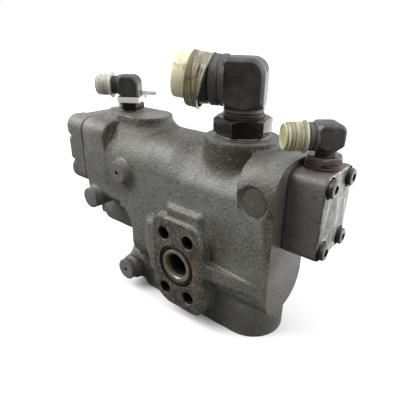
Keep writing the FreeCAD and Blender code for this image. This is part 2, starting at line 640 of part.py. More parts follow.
def pilot_cover():
    cover = end_plate(HOUSING_RIGHT, COVER_FACE, MAIN_PLANE - COVER_WIDTH / 2,
                      MAIN_PLANE + COVER_WIDTH / 2, COVER_BOTTOM, COVER_TOP, COVER_EDGE)
    face_edges = [e for e in cover.Edges if abs(e.CenterOfMass.x - COVER_FACE) < 1e-3]
    cover = cover.makeChamfer(COVER_RIM, face_edges)
    room = rod(PISTON_DIAMETER + 2 * SLIDE_GAP, PISTON_REST + PISTON_LENGTH - HOUSING_RIGHT,
               V(HOUSING_RIGHT, MAIN_PLANE, SPOOL_Z), EX)
    port = rod(PILOT.stud + 2 * THREAD_GAP, PILOT.stud_depth + 2,
               V(PILOT.x, MAIN_PLANE, COVER_TOP - PILOT.stud_depth - 2), EZ)
    way = rod(PILOT.bore, COVER_TOP - SPOOL_Z, V(PILOT.x, MAIN_PLANE, SPOOL_Z), EZ)
    cover = cover.cut(room).cut(port).cut(way).cut(mouth_groove(PILOT))
    cover = cover.cut(face_groove(SPRING_CHAMBER, HOUSING_RIGHT, EX))
    for centre in pilot_bolts(HOUSING_RIGHT):
        cover = cover.cut(rod(M8_SHANK + 1, COVER_DEPTH, centre, EX))
        cover = cover.cut(rod(M8_SINK_DIAMETER, M8_SINK, centre + EX * (COVER_DEPTH - M8_SINK), EX))
    return cover


def face_groove(inner, x, direction):
    """The groove for a face seal, cut into a cover's joint face round the spool axis."""
    start = V(x, MAIN_PLANE, SPOOL_Z)
    outer = inner + 2 * FACE_SEAL_SECTION + 4 * SEAL_GAP
    return tube(outer, inner, FACE_SEAL_SECTION + SEAL_GAP, start, direction)


def face_seal(inner, x, direction):
    middle = inner / 2 + FACE_SEAL_SECTION / 2 + SEAL_GAP
    centre = V(x, MAIN_PLANE, SPOOL_Z) + direction * (FACE_SEAL_SECTION / 2 + SEAL_GAP / 2)
    return Part.makeTorus(middle, FACE_SEAL_SECTION / 2, centre, direction)


def spring_cover():
    """The cast cover of the spring room: four screw lugs and a raised band between them."""
    plate = end_plate(SPRING_COVER_FACE, HOUSING_LEFT, FRONT_WALL, REAR_WALL, END_BLOCK_BOTTOM,
                      END_BLOCK_TOP, END_BLOCK_EDGE)
    face_edges = [e for e in plate.Edges if abs(e.CenterOfMass.x - SPRING_COVER_FACE) < 1e-3]
    plate = plate.makeFillet(3.0, face_edges)
    crest_x = SPRING_COVER_FACE - SPRING_COVER_CREST
    crest = box(crest_x, HOUSING_LEFT - 5, FRONT_WALL + CREST_INSET, REAR_WALL - CREST_INSET,
                SPOOL_Z - CREST_HEIGHT / 2 + 2, SPOOL_Z + CREST_HEIGHT / 2 + 2)
    outer = [e for e in crest.Edges if abs(e.CenterOfMass.x - crest_x) < 1e-3]
    cover = joined([plate, crest.makeFillet(5.0, outer)])
    pocket = rod(SPRING_CHAMBER, SPRING_COVER_POCKET,
                 V(HOUSING_LEFT - SPRING_COVER_POCKET, MAIN_PLANE, SPOOL_Z), EX)
    cover = cover.cut(pocket).cut(face_groove(SPRING_SEAL_INNER, HOUSING_LEFT, EX * -1))
    for centre in spring_bolts(HOUSING_LEFT):
        cover = cover.cut(rod(M10_SHANK + 1, SPRING_COVER_DEPTH, centre, EX * -1))
        seat = centre - EX * (SPRING_COVER_DEPTH - M10_SINK)
        cover = cover.cut(rod(M10_SINK_DIAMETER, M10_SINK + SPRING_COVER_CREST, seat, EX * -1))
    return cover


def cap_screws(centres, direction, shank, head, head_height, length, key):
    """Socket-head screws; each centre is the seat of the head and direction points outwards."""
    screws = []
    for centre in centres:
        under = centre - direction * length
        body = rod(shank, length, under, direction).fuse(rod(head, head_height, centre, direction))
        mouth = centre + direction * (head_height - SOCKET_DEPTH)
        screws.append(body.cut(hexagon(key, SOCKET_DEPTH, mouth, direction)))
    return Part.makeCompound(screws)


def pilot_cover_screws():
    seats = pilot_bolts(COVER_FACE - M8_SINK)
    return cap_screws(seats, EX, M8_SHANK - 2 * THREAD_GAP, M8_HEAD, M8_HEAD_HEIGHT,
                      M8_LENGTH - M8_SINK, 6.0)


def spring_cover_screws():
    seats = spring_bolts(SPRING_COVER_FACE + M10_SINK)
    return cap_screws(seats, EX * -1, M10_SHANK - 2 * THREAD_GAP, M10_HEAD, M10_HEAD_HEIGHT,
                      M10_LENGTH, 8.0)


def metering_spool():
    """The spool: closing land with metering notches, neck, guide land and a spring spigot."""
    r = SPOOL_DIAMETER / 2
    neck = SPOOL_NECK / 2
    spigot = SPIGOT_DIAMETER / 2
    outline = [(0, 0), (0, spigot), (SPIGOT_LENGTH, spigot), (SPIGOT_LENGTH, r - 1),
               (SPIGOT_LENGTH + 1, r)]
    for i in range(4):
        at = 24 + 14 * i
        outline += [(at, r), (at, r - 0.8), (at + 1.2, r - 0.8), (at + 1.2, r)]
    start = SPOOL_START
    outline += [(METERING_EDGE - start, r), (METERING_EDGE + 4 - start, neck),
                (NECK_END - 4 - start, neck), (NECK_END - start, r),
                (SPOOL_RIGHT - 1 - start, r), (SPOOL_RIGHT - start, r - 1),
                (SPOOL_RIGHT - start, 0)]
    spool = turned(outline, V(start, MAIN_PLANE, SPOOL_Z), EX)
    for turn in range(4):
        angle = math.radians(90 * turn)
        out = EY * math.cos(angle) + EZ * math.sin(angle)
        notch = rod(4.0, 5, V(METERING_EDGE, MAIN_PLANE, SPOOL_Z) + out * (r - 2.5), out)
        spool = spool.cut(notch)
    return spool


def pilot_piston():
    """The pilot piston and the stem that pushes the spool."""
    start = V(SPOOL_RIGHT + SLIDE_GAP, MAIN_PLANE, SPOOL_Z)
    reach = PISTON_REST - SPOOL_RIGHT - SLIDE_GAP
    r = PISTON_DIAMETER / 2
    end = reach + PISTON_LENGTH - SLIDE_GAP
    groove = reach + PISTON_GROOVE
    floor = r - PISTON_GROOVE_DEPTH
    hollow = PISTON_HOLLOW / 2
    outline = [(0, 0), (0, PISTON_STEM / 2), (reach, PISTON_STEM / 2), (reach, r), (groove, r),
               (groove, floor), (groove + PISTON_GROOVE_WIDTH, floor),
               (groove + PISTON_GROOVE_WIDTH, r), (end, r),
               (end, hollow), (end - hollow, hollow), (end - hollow, 0)]
    return turned(outline, start, EX)


def piston_ring():
    """The seal in the pilot piston's groove."""
    start = V(PISTON_REST + PISTON_GROOVE + SEAL_GAP, MAIN_PLANE, SPOOL_Z)
    inner = PISTON_DIAMETER - 2 * (PISTON_GROOVE_DEPTH - SEAL_GAP)
    return tube(PISTON_DIAMETER, inner, PISTON_GROOVE_WIDTH - 2 * SEAL_GAP, start, EX)


def spring_guide():
    """The cup that centres the main spring on the spool's spigot."""
    x = SPOOL_LEFT - GUIDE_THICKNESS
    hole = SPIGOT_DIAMETER + 2 * SLIDE_GAP
    flange = tube(SPRING_CHAMBER - 2 * GUIDE_ROOM, hole, GUIDE_THICKNESS, V(x, MAIN_PLANE, SPOOL_Z), EX)
    reach = SPIGOT_LENGTH - GUIDE_THICKNESS
    collar = tube(GUIDE_COLLAR, hole, reach, V(x - reach, MAIN_PLANE, SPOOL_Z), EX)
    return flange.fuse(collar).removeSplitter()


def coil(radius, wire, turns, start, end):
    """A compression spring with ground ends between two points, its wire drawn with flats."""
    axis = end - start
    length = axis.Length
    pitch = (length - wire) / turns
    helix = Part.Wire(Part.makeHelix(pitch, length + wire, radius))
    corners = []
    for i in range(COIL_SIDES + 1):
        angle = math.radians(360 / COIL_SIDES * (i + 0.5))
        corners.append(V(radius + wire / 2 * math.cos(angle), 0, wire / 2 * math.sin(angle)))
    spring = helix.makePipeShell([Part.makePolygon(corners)], True, True)
    spring.translate(EZ * (-wire / 2))
    spring = spring.common(rod(2 * radius + 2 * wire, length, V(0, 0, 0), EZ))
    spring.Placement = FreeCAD.Placement(start, FreeCAD.Rotation(EZ, axis))
    return spring


def main_spring():
    guide_face = SPOOL_LEFT - GUIDE_THICKNESS
    return coil(MAIN_SPRING_RADIUS, MAIN_SPRING_WIRE, MAIN_SPRING_TURNS,
                V(guide_face - SLIDE_GAP, MAIN_PLANE, SPOOL_Z),
                V(SPRING_POCKET_END + SLIDE_GAP, MAIN_PLANE, SPOOL_Z))


def poppet_top():
    """Height of the poppet's flat end when its cone rests on the seat edge."""
    r = POPPET_DIAMETER / 2
    return CHECK_SEAT_Z + (CHECK_SEAT_BORE / 2 - POPPET_TIP) / (r - POPPET_TIP) * POPPET_TIP


def check_poppet():
    """The cup-shaped check poppet: cone on top, open skirt below."""
    r = POPPET_DIAMETER / 2
    inner = r - POPPET_WALL
    tip = POPPET_TIP
    outline = [(0, 0), (0, tip), (tip, r), (tip + POPPET_SKIRT, r), (tip + POPPET_SKIRT, inner),
               (tip + POPPET_WALL, inner), (tip + POPPET_WALL, 0)]
    return turned(outline, V(MAIN_BOSS_X, MAIN_PLANE, poppet_top() - SEAT_GAP), EZ * -1)


def check_plug():
    """The plug in the foot that guides the check poppet, with a hexagon socket below."""
    bottom = FOOT_BOTTOM + CHECK_PLUG_RECESS
    start = V(MAIN_BOSS_X, MAIN_PLANE, bottom)
    body = rod(CHECK_PLUG_THREAD, CHECK_PLUG_HEIGHT, start, EZ)
    guide = rod(CHECK_CHAMBER - 2 * SLIDE_GAP, CHECK_PLUG_GUIDE, start + EZ * CHECK_PLUG_HEIGHT, EZ)
    room = rod(POPPET_DIAMETER + 2 * SLIDE_GAP, CHECK_PLUG_HEIGHT, start + EZ * CHECK_PLUG_FLOOR, EZ)
    key = hexagon(CHECK_PLUG_KEY, CHECK_PLUG_FLOOR - CHECK_PLUG_WALL, start, EZ)
    middle = V(MAIN_BOSS_X, MAIN_PLANE, check_seal_z() - CHECK_PLUG_SEAL / 2 - SEAL_GAP)
    groove = tube(CHECK_CHAMBER + 1, CHECK_CHAMBER - 2 * (CHECK_PLUG_SEAL + 2 * SEAL_GAP),
                  CHECK_PLUG_SEAL + 2 * SEAL_GAP, middle, EZ)
    return joined([body, guide]).cut(room).cut(key).cut(groove)


def check_seal_z():
    """Height of the seal, half way up the plug's guide."""
    return FOOT_BOTTOM + CHECK_PLUG_RECESS + CHECK_PLUG_HEIGHT + CHECK_PLUG_GUIDE / 2


def check_plug_seal():
    return Part.makeTorus(CHECK_CHAMBER / 2 - SEAL_GAP - CHECK_PLUG_SEAL / 2, CHECK_PLUG_SEAL / 2,
                          V(MAIN_BOSS_X, MAIN_PLANE, check_seal_z()))


def check_spring():
    top = poppet_top() - POPPET_TIP - POPPET_WALL
    return coil(CHECK_SPRING_RADIUS, CHECK_SPRING_WIRE, CHECK_SPRING_TURNS,
                V(MAIN_BOSS_X, MAIN_PLANE, PLUG_FLOOR_Z + SLIDE_GAP),
                V(MAIN_BOSS_X, MAIN_PLANE, top - 2 * SLIDE_GAP))


def relief_body():
    """The screwed relief cartridge with its hexagon outside the housing."""
    face = V(HOUSING_LEFT, MAIN_PLANE, RELIEF_Z)
    length = RELIEF_NOSE_X - HOUSING_LEFT
    stem = rod(RELIEF_THREAD, length - RELIEF_NOSE_LENGTH, face, EX)
    nose = rod(RELIEF_NOSE, length, face, EX)
    head = hexagon(RELIEF_FLATS, RELIEF_HEX, face, EX * -1, 0, RELIEF_HEX_BEVEL)
    body = joined([stem, nose, head])
    outer = HOUSING_LEFT - RELIEF_HEX
    room = rod(RELIEF_BORE, RELIEF_SEAT_X - outer, V(outer, MAIN_PLANE, RELIEF_Z), EX)
    body = body.cut(room).cut(rod(RELIEF_SEAT, length, face, EX))
    middle = V(RELIEF_OUTLET_X, MAIN_PLANE, RELIEF_Z)
    for way in (EY, EZ):
        body = body.cut(rod(RELIEF_OUTLET, RELIEF_NOSE + 2, middle - way * (RELIEF_NOSE / 2 + 1), way))
    width = RELIEF_SEAL + 2 * SEAL_GAP
    groove = tube(RELIEF_NOSE + 1, RELIEF_NOSE - 2 * width, width,
                  V(RELIEF_NOSE_X - RELIEF_SEAL_SETBACK, MAIN_PLANE, RELIEF_Z), EX)
    return body.cut(groove)


def relief_nose_seal():
    """The O-ring between the seat and the outlets of the cartridge."""
    x = RELIEF_NOSE_X - RELIEF_SEAL_SETBACK + SEAL_GAP + RELIEF_SEAL / 2
    return Part.makeTorus(RELIEF_NOSE / 2 - SEAL_GAP - RELIEF_SEAL / 2, RELIEF_SEAL / 2,
                          V(x, MAIN_PLANE, RELIEF_Z), EX)


def relief_mouth():
    """The counterbore for the O-ring under the cartridge's hexagon."""
    diameter = RELIEF_THREAD + 2 * (THREAD_GAP + RELIEF_SEAL + SEAL_GAP)
    return rod(diameter, RELIEF_SEAL + SEAL_GAP, V(HOUSING_LEFT, MAIN_PLANE, RELIEF_Z), EX)


def relief_head_seal():
    x = HOUSING_LEFT + SEAL_GAP / 2 + RELIEF_SEAL / 2
    return Part.makeTorus(RELIEF_THREAD / 2 + THREAD_GAP + RELIEF_SEAL / 2, RELIEF_SEAL / 2,
                          V(x, MAIN_PLANE, RELIEF_Z), EX)


def relief_cone():
    """The relief poppet, closing the seat hole with its cone."""
    r = RELIEF_CONE_RADIUS
    stub = RELIEF_SPRING_RADIUS - RELIEF_SPRING_WIRE / 2 - LOOSE_GAP
    end = RELIEF_CONE_LENGTH
    outline = [(0, 0), (RELIEF_CONE_POINT, r), (end, r), (end, stub),
               (end + RELIEF_CONE_STUB, stub), (end + RELIEF_CONE_STUB, 0)]
    start = V(RELIEF_CONE_BACK + end - SEAT_GAP, MAIN_PLANE, RELIEF_Z)
    return turned(outline, start, EX * -1)


def relief_spring():
    return coil(RELIEF_SPRING_RADIUS, RELIEF_SPRING_WIRE, RELIEF_SPRING_TURNS,
                V(HOUSING_LEFT + ADJUSTER_REACH + SLIDE_GAP, MAIN_PLANE, RELIEF_Z),
                V(RELIEF_CONE_BACK - 2 * SLIDE_GAP, MAIN_PLANE, RELIEF_Z))


def relief_adjuster():
    """The set screw of the relief valve, with a plate that carries the spring."""
    start = V(HOUSING_LEFT - RELIEF_HEX - ADJUSTER_PROUD, MAIN_PLANE, RELIEF_Z)
    length = RELIEF_HEX + ADJUSTER_PROUD + ADJUSTER_REACH
    screw = rod(ADJUSTER_DIAMETER, length - ADJUSTER_PLATE, start, EX)
    plate = rod(RELIEF_BORE - 4 * SLIDE_GAP, ADJUSTER_PLATE,
                start + EX * (length - ADJUSTER_PLATE), EX)
    return joined([screw, plate]).cut(hexagon(ADJUSTER_DIAMETER / 2, ADJUSTER_PLATE, start, EX))


def relief_sleeve():
    """The threaded bush in the cartridge that the set screw runs in."""
    start = V(HOUSING_LEFT - RELIEF_HEX, MAIN_PLANE, RELIEF_Z)
    return tube(RELIEF_BORE - 2 * PRESS_GAP, ADJUSTER_DIAMETER + 2 * THREAD_GAP,
                RELIEF_HEX + ADJUSTER_REACH - ADJUSTER_PLATE - LOOSE_GAP, start, EX)


def relief_locknut():
    start = V(HOUSING_LEFT - RELIEF_HEX, MAIN_PLANE, RELIEF_Z)
    nut = hexagon(ADJUSTER_NUT_FLATS, ADJUSTER_NUT_HEIGHT, start, EX * -1, 0,
                  ADJUSTER_NUT_BEVEL)
    return nut.cut(rod(ADJUSTER_DIAMETER + 2 * THREAD_GAP, ADJUSTER_NUT_HEIGHT, start, EX * -1))


def flange_port_sleeve():
    """The bare metal sleeve in the flange port, a collar inside the O-ring groove."""
    collar = rod(SLEEVE_OUTER, GROOVE_DEPTH, V(0, 0, 0), EY)
    body = rod(SLEEVE_BODY, SLEEVE_LENGTH, V(0, 0, 0), EY)
    sleeve = joined([collar, body]).cut(rod(PORT_BORE, SLEEVE_LENGTH, V(0, 0, 0), EY))
    mouth = Part.makeCone(PORT_BORE / 2 + 1, PORT_BORE / 2, 1.0, V(0, 0, 0), EY)
    return sleeve.cut(mouth)


def flange_o_ring():
    middle = (SLEEVE_OUTER + GROOVE_OUTER) / 4
    depth = GROOVE_DEPTH - O_RING_SECTION / 2 - SEAL_GAP
    return Part.makeTorus(middle, O_RING_SECTION / 2, V(0, depth, 0), EY)


def core_plug():
    """The flat disc pressed into the front wall."""
    start = V(CORE_PLUG_X, FRONT_WALL - CORE_PLUG_PROUD, CORE_PLUG_Z)
    disc = rod(2 * CORE_PLUG_RADIUS, CORE_PLUG_THICKNESS, start, EY)
    rim = [e for e in disc.Edges if abs(e.CenterOfMass.y - start.y) < 1e-3]
    return disc.makeFillet(CORE_PLUG_PROUD * 0.6, rim)


def placed(shape, e):
    """Turns a part made on the Z axis into an elbow's direction and sets it on its seat."""
    turn = FreeCAD.Rotation(EZ, e.turn)
    shape.Placement = FreeCAD.Placement(V(e.x, MAIN_PLANE, e.seat), turn).multiply(shape.Placement)
    return shape


def elbow_body(e):
    """A forged elbow: stud down, arm along -X, bevelled block with a round outer corner."""
    half = e.block / 2
    top = e.axis_rise + e.crown
    block = box(-half, half, -half, half, e.block_bottom, top)
    corner = edges_along(block, EY, lambda p: p.x > 0 and p.z > e.axis_rise)
    block = block.makeFillet(e.outer_radius, corner)
    rims = [edge for edge in block.Edges if abs(abs(edge.CenterOfMass.y) - half) < 1e-3]
    block = block.makeChamfer(e.bevel, rims)
    stud = rod(e.stud, e.stud_depth + e.block_bottom + 1, V(0, 0, -e.stud_depth), EZ)
    root = half - e.bevel
    arm = rod(e.arm, e.arm_reach - root, V(-root, 0, e.axis_rise), EX * -1)
    collar = rod(e.collar, e.bevel + e.shoulder, V(-root, 0, e.axis_rise), EX * -1)
    body = joined([block, stud, arm, collar])
    down = rod(e.bore, e.axis_rise + e.stud_depth, V(0, 0, -e.stud_depth), EZ)
    along = rod(e.bore, e.arm_reach, V(0, 0, e.axis_rise), EX * -1)
    mouth = Part.makeCone(e.bore / 2 + 1.5, e.bore / 2, 1.5, V(-e.arm_reach, 0, e.axis_rise), EX)
    return placed(body.cut(down).cut(along).cut(mouth), e)


def nut_flats(e):
    """Width across the flats of an elbow's locknut."""
    return e.stud + 2 * e.nut_wall


def elbow_locknut(e):
    start = V(0, 0, e.washer_thick)
    nut = hexagon(nut_flats(e), e.nut_height, start, EZ, e.nut_turn, 1.2)
    return placed(nut.cut(rod(e.stud + 2 * THREAD_GAP, e.nut_height, start, EZ)), e)


def elbow_washer(e):
    ring = tube(nut_flats(e) + 2 * e.washer_rim, e.stud + 2 * THREAD_GAP, e.washer_thick,
                V(0, 0, 0), EZ)
    return placed(ring, e)


def mouth_groove(e):
    """The counterbore at the mouth of an elbow's port, which holds its O-ring."""
    diameter = e.stud + 2 * (THREAD_GAP + PORT_SEAL + SEAL_GAP)
    return rod(diameter, PORT_SEAL + SEAL_GAP,
               V(e.x, MAIN_PLANE, e.seat - PORT_SEAL - SEAL_GAP), EZ)


def elbow_seal(e):
    return Part.makeTorus(e.stud / 2 + THREAD_GAP + PORT_SEAL / 2, PORT_SEAL / 2,
                          V(e.x, MAIN_PLANE, e.seat - SEAL_GAP / 2 - PORT_SEAL / 2))


def elbow_cap(e):
    """A push-on protector cap over the arm's thread: flared lip, skirt, narrower closed end.

    The tilt leans it about the middle of the covered thread, as a cap that was pushed on askew."""
    inner = e.arm / 2 + e.cap_play
    outer = inner + e.cap_wall
    depth = e.arm_reach + e.cap_tail - e.cap_start
    step = e.arm_reach - e.cap_start + CAP_ROOM + e.arm / 2 * math.sin(math.radians(e.cap_tilt))
    skirt = step + e.cap_skirt
    end = outer - e.cap_step
    hollow = min(inner, end - e.cap_wall)
    outline = [(0, inner), (0, outer + e.cap_lip), (CAP_LIP_WIDTH, outer + e.cap_lip),
               (2 * CAP_LIP_WIDTH, outer), (skirt, outer), (skirt + CAP_EDGE, end),
               (depth - CAP_EDGE, end), (depth, end - CAP_EDGE), (depth, 0),
               (depth - e.cap_wall, 0), (depth - e.cap_wall, hollow), (step + CAP_EDGE, hollow),
               (step, inner)]
    start = V(-e.cap_start, 0, e.axis_rise + e.cap_lift)
    cap = turned(outline, start, EX * -1)
    cap.rotate(V(-(e.cap_start + e.arm_reach) / 2, 0, e.axis_rise), EY, e.cap_tilt)
    return placed(cap, e)


def cable_tie():
    """A flat tie round the lower end of the drain elbow's block, with head and cut tail."""
    e = DRAIN
    inner = e.block / 2 + SEAL_GAP
    outer = inner + TIE_THICKNESS
    z0 = e.block_bottom + SEAL_GAP
    band = box(-outer, outer, -outer, outer, z0, z0 + TIE_WIDTH)
    band = band.makeFillet(3.0, edges_along(band, EZ, lambda p: True))
    hole = box(-inner, inner, -inner, inner, z0, z0 + TIE_WIDTH)
    hole = hole.makeFillet(3.0 - TIE_THICKNESS, edges_along(hole, EZ, lambda p: True))
    head = box(outer - TIE_HEAD, outer + 1, outer - 0.5, outer + TIE_DEPTH, z0 + 1,
               z0 + TIE_WIDTH + TIE_RISE + 1)
    tail = box(outer, outer + TIE_TAIL, outer + 1, outer + 1 + TIE_THICKNESS,
               z0 + TIE_RISE + 1.5, z0 + TIE_RISE + TIE_WIDTH + 0.5)
    return placed(joined([band.cut(hole), head, tail]), e)


def elbow_parts(name, e):
    return {
        name + "_elbow": elbow_body(e),
        name + "_elbow_locknut": elbow_locknut(e),
        name + "_elbow_washer": elbow_washer(e),
        name + "_elbow_seal": elbow_seal(e),
        name + "_elbow_cap": elbow_cap(e),
    }


def build():
    parts = {
        "main_housing": main_housing(),
        "pilot_cover": pilot_cover(),
        "pilot_cover_seal": face_seal(SPRING_CHAMBER, HOUSING_RIGHT, EX),
        "pilot_cover_screws": pilot_cover_screws(),
        "spring_cover": spring_cover(),
        "spring_cover_seal": face_seal(SPRING_SEAL_INNER, HOUSING_LEFT, EX * -1),
        "spring_cover_screws": spring_cover_screws(),
        "metering_spool": metering_spool(),
        "pilot_piston": pilot_piston(),
        "pilot_piston_ring": piston_ring(),
        "spring_guide": spring_guide(),
        "main_spring": main_spring(),
        "check_poppet": check_poppet(),
        "check_spring": check_spring(),
        "check_plug": check_plug(),
        "check_plug_seal": check_plug_seal(),
        "relief_body": relief_body(),
        "relief_head_seal": relief_head_seal(),
        "relief_nose_seal": relief_nose_seal(),
        "relief_cone": relief_cone(),
        "relief_spring": relief_spring(),
        "relief_adjuster": relief_adjuster(),
        "relief_adjuster_bush": relief_sleeve(),
        "relief_locknut": relief_locknut(),
        "flange_port_sleeve": flange_port_sleeve(),
        "flange_o_ring": flange_o_ring(),
        "core_plug": core_plug(),
        "cable_tie": cable_tie(),
    }
    for name, e in (("main", MAIN), ("pilot", PILOT), ("drain", DRAIN)):
        parts.update(elbow_parts(name, e))
    return parts


for node, shape in build().items():
    shape.exportStep("parts/" + node + ".step")
    print(node, "valid" if shape.isValid() else "INVALID", len(shape.Solids), round(shape.Volume))
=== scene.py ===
import json
import math
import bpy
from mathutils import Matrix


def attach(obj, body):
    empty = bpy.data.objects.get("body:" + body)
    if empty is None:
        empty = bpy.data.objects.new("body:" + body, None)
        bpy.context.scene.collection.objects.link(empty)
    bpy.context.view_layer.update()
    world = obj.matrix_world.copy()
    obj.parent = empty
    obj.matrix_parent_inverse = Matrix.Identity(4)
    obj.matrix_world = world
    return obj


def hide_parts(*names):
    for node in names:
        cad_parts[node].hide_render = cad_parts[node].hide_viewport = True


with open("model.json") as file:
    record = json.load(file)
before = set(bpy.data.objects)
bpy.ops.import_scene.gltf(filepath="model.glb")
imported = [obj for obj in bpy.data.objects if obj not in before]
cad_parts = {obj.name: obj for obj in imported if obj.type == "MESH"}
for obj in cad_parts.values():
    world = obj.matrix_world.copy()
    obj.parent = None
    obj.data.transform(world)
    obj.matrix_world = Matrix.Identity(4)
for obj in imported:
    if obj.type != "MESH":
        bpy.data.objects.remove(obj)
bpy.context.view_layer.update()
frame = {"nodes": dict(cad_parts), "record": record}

from types import SimpleNamespace as Sizes

import bpy
import numpy as np
import openvdb
from mathutils import Matrix, Vector

# Looks of the hose rupture valve. Sizes are written in millimetres and turned into metres
# where a mesh is made.
MM = 0.001

# Frame of the valve, as in the construction
X, Y, Z = (1, 0, 0), (0, 1, 0), (0, 0, 1)
MINUS_X = (-1, 0, 0)
ORIGIN = (0, 0, 0)
PLANE = 46.0  # Y of the plane of the spool and of the ports above it
FRONT_WALL = 8.0
REAR_WALL = 84.0
SPOOL_Z = 72.0
RELIEF_Z = 8
LEFT_FACE = -131.0
RIGHT_FACE = 88.0
FOOT_FACE = -55.0
BOSS_X = 32.7
BOSS_TOP = 114.5
OVAL_X = (-99.0, -73.0)
OVAL_TOP = 116.5
PILOT_X = 102
PLUG_X, PLUG_Z = 70.5, 80.0

CORNERS = [(j, k) for j in (-1, 1) for k in (-1, 1)]
BOLTS = [(j * 13.88, k * 28.575) for j, k in CORNERS]  # x, z
PILOT_SCREWS = [(PLANE + j * 15.8, 72.25 + k * 24.25) for j, k in CORNERS]  # y, z
SPRING_SCREWS = [(PLANE + j * 26, 75.25 + k * 23.5) for j, k in CORNERS]  # y, z


# -------- node materials
M = {}  # the materials by name
HOLLOW_DIRT = (0.022, 0.02, 0.017)
WHITE = (1.0, 1.0, 1.0)


class Nodes:
    """Short calls for a node tree; sizes are in metres of the object's own frame."""

    def __init__(self, owner, space="Object"):
        owner.use_nodes = True
        self.tree = owner.node_tree
        self.tree.nodes.clear()
        self.where = self.new("TexCoord").outputs[space]

    def new(self, kind, values=None, **settings):
        """A node of a kind, with values for its inputs and settings of its own."""
        node = self.tree.nodes.new("ShaderNode" + kind)
        for name, value in settings.items():
            setattr(node, name, value)
        for name, value in (values or {}).items():
            self.put(value, node.inputs[name])
        return node

    def put(self, value, socket):
        """Links what comes from a node, and sets anything else on the socket."""
        if isinstance(value, bpy.types.NodeSocket):
            self.tree.links.new(value, socket)
        else:
            socket.default_value = (*value, 1.0) if socket.type == "RGBA" else value

    def noise(self, scale, detail=4.0, rough=0.55, distort=0.0, stretch=None):
        where = self.where
        if stretch:
            where = self.new("Mapping", {"Scale": stretch, "Vector": where}).outputs["Vector"]
        return self.new("TexNoise", {"Scale": scale, "Detail": detail, "Roughness": rough,
                                     "Distortion": distort, "Vector": where}).outputs["Fac"]

    def ramp(self, value, *stops):
        node = self.new("ValToRGB", {"Fac": value})
        ramp = node.color_ramp
        while len(ramp.elements) < len(stops):
            ramp.elements.new(0.5)
        for element, (at, colour) in zip(ramp.elements, stops):
            element.position = at
            if isinstance(colour, (int, float)):
                colour = (colour,) * 3
            element.color = (*colour, 1.0)
        return node.outputs["Color"]

    def mix(self, factor, a, b):
        return self.new("Mix", {0: factor, 6: a, 7: b}, data_type="RGBA").outputs[2]

    def math(self, how, a, b):
        return self.new("Math", {0: a, 1: b}, operation=how).outputs[0]

    def times(self, a, b):
        return self.math("MULTIPLY", a, b)

    def vector(self, how, a, b):
        return self.new("VectorMath", {0: a, 1: b}, operation=how).outputs

    def bump(self, heights):
        """heights: (value, distance in mm) pairs, stacked into one normal."""
        normal = None
        for value, distance in heights:
            node = self.new("Bump", {"Strength": 1.0, "Distance": distance * MM,
                                     "Height": value})
            if normal is not None:
                self.put(normal, node.inputs["Normal"])
            normal = node.outputs["Normal"]
        return normal

    def patch(self, centre, radii, strength, uneven):
        """A patch with a ragged edge, in the frame of the valve, with a radius for each axis."""
        away = self.vector("SUBTRACT", self.where, tuple(c * MM for c in centre))["Vector"]
        away = self.vector("MULTIPLY", away, tuple(1 / (r * MM) for r in radii))["Vector"]
        reach = self.vector("LENGTH", away, (0.0, 0.0, 0.0))["Value"]
        ragged = self.math("ADD", reach, self.times(uneven, 0.6))
        return self.ramp(self.times(ragged, 0.5), (0.5, strength), (0.72, 0.0))

    def edges(self, *stops):
        """A mask from how much the surface bulges (above 0.5) or is hollow (below 0.5)."""
        return self.ramp(self.new("NewGeometry").outputs["Pointiness"], *stops)


class Paint(Nodes):
    """A material with one principled shader, kept in M under its name."""

    def __init__(self, name):
        M[name] = bpy.data.materials.new(name)
        super().__init__(M[name])
        self.shader = self.new("BsdfPrincipled")
        self.new("OutputMaterial", {"Surface": self.shader.outputs["BSDF"]})

    def finish(self, colour, rough, heights, others=None):
        values = {"Base Color": colour, "Roughness": rough, "Normal": self.bump(heights)}
        for name, value in {**values, **(others or {})}.items():
            self.put(value, self.shader.inputs[name])


def tone(base, factor, plus=0.0):
    return tuple(min(1.0, c * factor + plus) for c in base)


